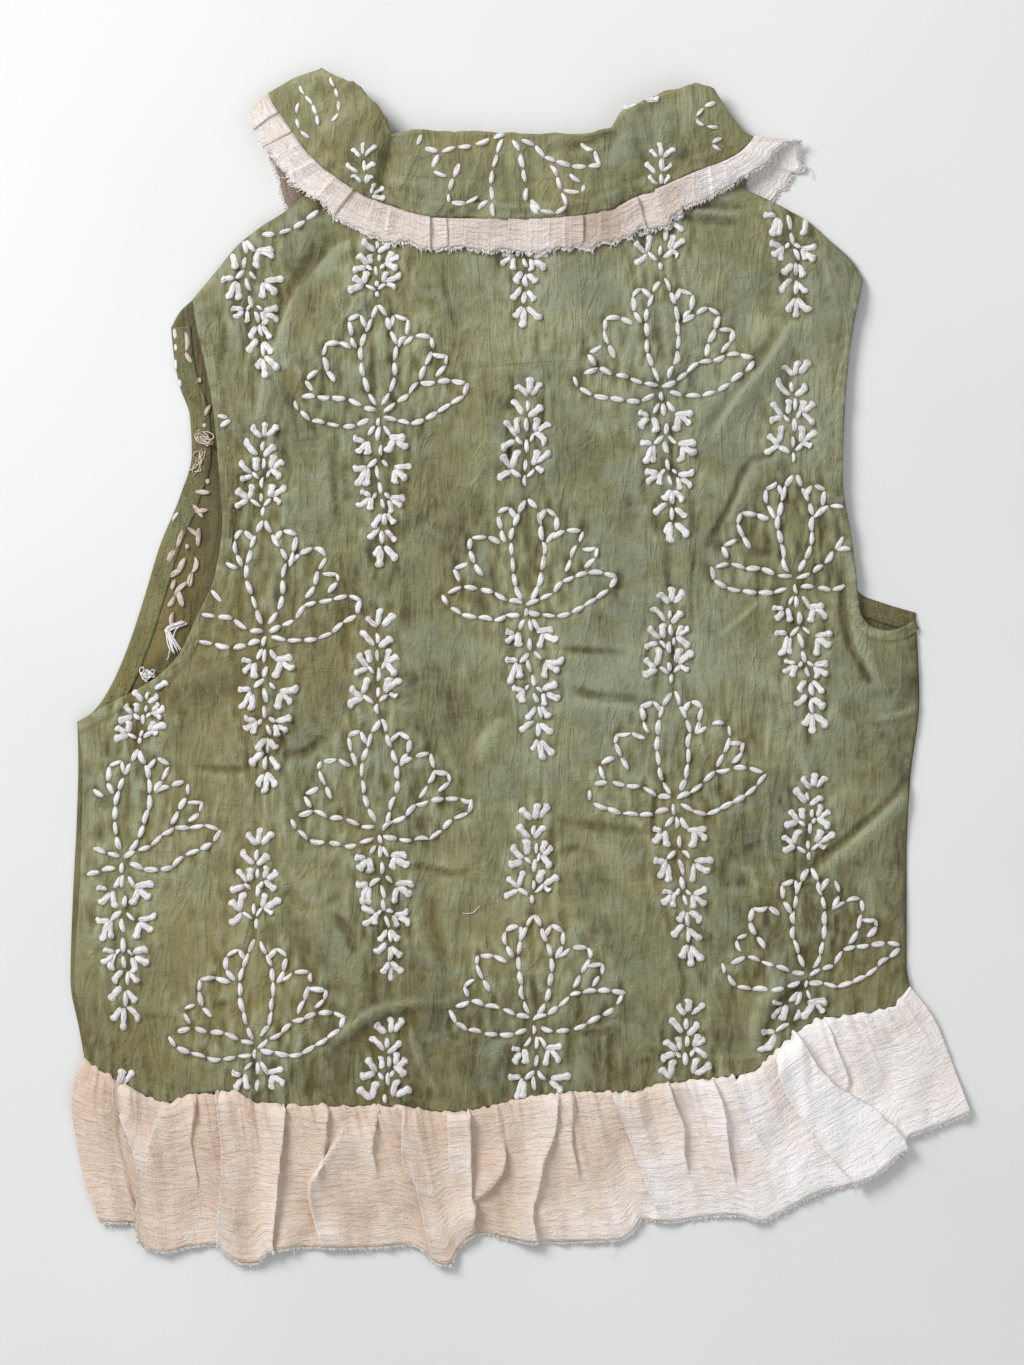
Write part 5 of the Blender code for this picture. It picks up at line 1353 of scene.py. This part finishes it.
# Stitches seen from behind inside the left armhole, flat and pink with age, and the ends of the threads:
# a tangle, a tassel and a knot left hanging. Loose threads are fine tubes along their own paths.
STITCH_BACKS = (
    (-184.8, 183.4, -184.3, 172.5), (-184.3, 171.9, -181, 166.4), (-176.9, 158, -176.2, 155.6),
    (-171, 143, -173.5, 137), (-174, 133, -173.9, 130.6), (-172.5, 102.4, -172.2, 99.8),
    (-179.3, 95.4, -171, 94.9), (-180.4, 88.3, -174.9, 81.1), (-179.3, 84.4, -172.2, 85.5),
    (-183.2, 75.6, -176.6, 70.7), (-177.1, 75.6, -177.7, 65.2), (-185.9, 74.5, -189.2, 64.6),
    (-190.3, 63.5, -194.2, 56.9), (-183.7, 66.6, -183.5, 63.9), (-179.3, 59.7, -181, 50.9),
    (-184.8, 59.1, -188.7, 50.9), (-193, 48.7, -186.5, 52.5), (-190.3, 47, -192, 41.5),
    (-181, 50.9, -182, 43.2), (-182, 45.9, -190.3, 37.7), (-190.3, 37.7, -194.2, 32.2),
    (-188.7, 41.5, -185.9, 32.2), (-191.4, 29.4, -192, 21.2),
)
FRONT_EDGE_STITCHES = (
    (-190.6, 185, -190.0, 179.5), (-189.9, 176.5, -189.7, 173), (-189.9, 168, -189.5, 162),
    (-187.9, 157, -187.2, 153), (-188.6, 84, -191.5, 79.5),
)
on_facing = functools.partial(at, facing_surface + 0.1)
add_stitches("stitch_backs", np.array(STITCH_BACKS), on_facing, 65, pink_strands,
             PLAIN_RINGS, 1.4, 0.7)
add_stitches("front_edge_stitches", np.array(FRONT_EDGE_STITCHES), on_facing, 66, white_strands,
             PLAIN_RINGS, 1.1, 0.7)


def add_threads(name, paths, radius, material, seed):
    """Threads as one piece of three-sided tubes, from paths of equal numbers of points."""
    paths = np.asarray(paths, float)
    count, places = paths.shape[:2]
    ahead = unit(np.gradient(paths, axis=1))
    side = unit(np.cross(ahead, np.array([0.02, 0.01, 1.0])))
    up = np.cross(side, ahead)
    rng = np.random.default_rng(seed)
    thick = radius * rng.uniform(0.75, 1.25, (count, 1, 1))
    rings = []
    for k in range(3):
        angle = 2 * math.pi * k / 3 + 0.5
        rings.append(paths + (side * math.cos(angle) + up * math.sin(angle)) * thick)
    points = np.stack(rings, axis=2).reshape(-1, 3)
    pattern = []
    for ring in range(places - 1):
        for k in range(3):
            after = (k + 1) % 3
            low, high = ring * 3, (ring + 1) * 3
            pattern.append((low + k, low + after, high + after, high + k))
    pattern.append((2, 1, 0))
    pattern.append(((places - 1) * 3, (places - 1) * 3 + 1, (places - 1) * 3 + 2))
    faces = [tuple(n * places * 3 + corner for corner in face) for n in range(count) for face in pattern]
    strand = np.repeat(np.arange(count) * 3.1, places * 3)
    along_it = np.tile(np.repeat(np.arange(places) * 0.6, 3), count)
    values = {"strand": np.column_stack([strand, along_it, strand * 0.7]),
              "tone": np.repeat(rng.normal(0.05, 0.12, count), places * 3)}
    return add_piece(name, points, faces, material, (), values)


def wandering(start, end, points, spread, rng, base, rise):
    """A loose thread's path between two places, straying sideways by about this much over its base."""
    t = np.linspace(0, 1, points)[:, None]
    sway = sum(rng.normal(0, spread / k, 3) * np.sin(math.pi * k * t) for k in (1, 2, 3))
    flat = np.array(start) * (1 - t) + np.array(end) * t + sway[:, :2]
    return np.column_stack([flat, base(*flat.T) + rise + np.abs(sway[:, 2]) * 0.3])


# The tangle: loose loops of a fine thread, with a few ends hanging from it
rng = np.random.default_rng(83)
loops = []
TANGLE, KNOT = (-172.8, 123.2), (-205.6, -4.6)
for _ in range(5):
    angles = np.linspace(0, rng.uniform(0.9, 1.4) * 2 * math.pi, 22)
    middle = TANGLE + rng.normal(0, 1.5, 2)
    wide, tall, lean = rng.uniform(2.0, 4.6), rng.uniform(1.6, 3.6), rng.uniform(0, 3)
    ring = np.column_stack([wide * np.cos(angles + lean), tall * np.sin(angles) + 0.25 * angles])
    height = np.maximum(on_facing(*(middle + ring).T), at(back_surface, *(middle + ring).T) - 2.0)
    height = height + 0.5 + rng.uniform(0, 1.2) + 0.3 * np.sin(angles * 2)
    loops.append(np.column_stack([middle + ring, height]))
for _ in range(6):
    start = (-175.5 + rng.normal(0, 1.2), 117 + rng.normal(0, 1))
    end = (-179 + rng.normal(0, 1.6), 106 + rng.normal(0, 2))
    loops.append(wandering(start, end, 22, 1.6, rng, on_facing, 0.5))
add_threads("thread_tangle", loops, 0.27, pink_strands, 84)
# The tassel: threads that hang over a bend, with a knot of small loops below it
tassel = []
for k in range(11):
    top = np.array((-184.6 + rng.normal(0, 0.8), 23.2 + rng.normal(0, 0.8)))
    bend = np.array((-194.0 + rng.normal(0, 1.4), 19.0 + rng.normal(0, 1.0)))
    low = np.array((-190.2 + (k - 5) * 0.85, 6.8 + rng.normal(0, 1.4)))
    path = along(np.array([top, bend, (bend + low) / 2 + rng.normal(0, 0.5, 2), low]), np.linspace(0, 1, 12))
    tassel.append(np.column_stack([path, on_facing(*path.T) + 0.4 + rng.uniform(0, 0.9)]))
for k in range(9):
    turn = np.linspace(0, 2.4 * math.pi, 12)
    middle = KNOT + rng.normal(0, 1.4, 2)
    wide, tall = rng.uniform(1, 2.6), rng.uniform(1, 2.6)
    ring = middle + np.column_stack([wide * np.cos(turn + k), tall * np.sin(turn)])
    tassel.append(np.column_stack([ring, on_facing(*ring.T) + 0.5 + rng.uniform(0, 0.8)]))
add_threads("thread_tassel", tassel, 0.36, white_strands, 85)


# Machine stitching in yellow thread: along the turned armholes, round the neck patch, along the collar
# above its frill, on the left shoulder, and in two rows of zigzag on the facings.
yellow_thread = strand_cotton("yellow_thread", (196, 188, 130), (166, 158, 100), (104, 96, 56))
rng = np.random.default_rng(86)
armhole_lines = [beside(curve(BACK_ARMHOLE_LEFT, 3.0), 6.4), beside(curve(BACK_ARMHOLE_RIGHT, 3.0), 5.6),
                 ((-129, 257.0), (-115, 250.5), (-101, 246.7))]
patch_seam = ((-35.5, 222), (-29, 163.6), (-17, 164.2), (13, 166.5), (32.5, 168), (33.5, 190), (31, 228))
above_frill = collar_points[240:460, -12, :2]
armhole_rows = np.concatenate([running_stitches(line, rng, 2.3, 1.5) for line in armhole_lines])
patch_rows = running_stitches(patch_seam, rng, 2.6, 1.5)
fall_rows = kept_on_collar(running_stitches(above_frill, rng, 2.4, 1.5))
for name, rows, lie, seed, height in (
        ("armhole_topstitching", armhole_rows, on_back, 66, 0.28),
        ("patch_topstitching", patch_rows, on_back, 67, 0.25),
        ("collar_topstitching", fall_rows, on_collar, 68, 0.25)):
    add_stitches(name, rows, lie, seed, yellow_thread, THREAD_RINGS, 0.2, height)
zigzags = []
ZIGZAG_ROWS, ZIGZAG_REACH = (3.2, 7.6), 0.7
for armhole in (FRONT_ARMHOLE_LEFT, FRONT_ARMHOLE_RIGHT):
    for gap in ZIGZAG_ROWS:
        line = curve(armhole, 1.6)
        near, far = beside(line, gap - ZIGZAG_REACH), beside(line, gap + ZIGZAG_REACH)
        points = np.where(np.arange(len(line))[:, None] % 2 == 0, near, far)
        zigzags.append(np.column_stack([points[:-1], points[1:]]))
add_stitches("facing_zigzag", np.concatenate(zigzags), functools.partial(at, facing_surface + 0.32), 69,
             yellow_thread, THREAD_RINGS, 0.17, 0.22)


# Fringe: the muslin's torn edges have frayed into short threads and small loops, a few of them long.
loose_thread = strand_cotton("loose_thread", (254, 251, 250), (246, 238, 232), (226, 212, 200))


def frayed(points, rng, singles, loops, length, long_ones):
    """Threads and loops of this length off the last row of a frill's points, with a share of long ones."""
    paths = []
    span = len(points) - 1
    last = points[:, -1]
    away = unit(last - points[:, -2])
    t = np.linspace(0, 1, 5)[:, None]
    for _ in range(singles):
        u = rng.uniform(0, span - 2)
        k = int(u)
        base = last[k] + (last[k + 1] - last[k]) * (u - k)
        reach = length * rng.uniform(0.4, 1.1) * (rng.uniform(2, 3.5) if rng.uniform() < long_ones else 1.0)
        sway = rng.normal(0, 0.45, 3) * reach
        bend = rng.normal(0, 0.3, 3) * reach
        path = base - away[k] * 0.5 + away[k] * (reach + 0.5) * t + sway * t * t + bend * np.sin(math.pi * t)
        path[:, 2] = base[2] - 0.12 * reach * t[:, 0] + 0.1 * bend[2] * np.sin(math.pi * t[:, 0])
        paths.append(path)
    for _ in range(loops):
        k = rng.integers(0, span - 2)
        wide, reach = rng.uniform(0.8, 2.0), length * rng.uniform(0.6, 1.25)
        ahead = unit(last[k + 1] - last[k])
        path = last[k] + ahead * wide * t + away[k] * (reach * np.sin(math.pi * t) - 0.4)
        path[:, 2] = last[k, 2] - 0.1 * reach + 0.25 * np.sin(math.pi * t[:, 0]) * rng.normal(0, 1)
        paths.append(path)
    lowest = 0.25
    return [np.column_stack([path[:, :2], np.maximum(path[:, 2], lowest)]) for path in paths]


rng = np.random.default_rng(87)
hem_threads = frayed(hem_points, rng, singles=3000, loops=500, length=1.5, long_ones=0.02)
collar_threads = frayed(frill_points, rng, singles=2500, loops=1400, length=1.7, long_ones=0.01)
add_threads("hem_fringe", hem_threads, 0.15, loose_thread, 88)
add_threads("collar_fringe", collar_threads, 0.17, loose_thread, 89)
# Ends of thread along the hem's seam, and one that lies loose on the back
ends = []
for x in rng.uniform(-232, 205, 26):
    y = np.interp(x, *np.transpose(HEM)) + rng.uniform(-1, 1)
    end = (x + rng.normal(0, 4), y - rng.uniform(2, 7))
    ends.append(wandering((x, y), end, 8, 0.8, rng, on_back, 0.6))
ends.append(wandering((-32, -135.6), (-22, -131.8), 8, 1.0, rng, on_back, 0.5))
add_threads("loose_ends", ends, 0.14, loose_thread, 91)


# The part's and the whole object's boxes, in metres
size = {"cad": [list(corner) for corner in cad_box], "visual": [list(corner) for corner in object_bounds()]}
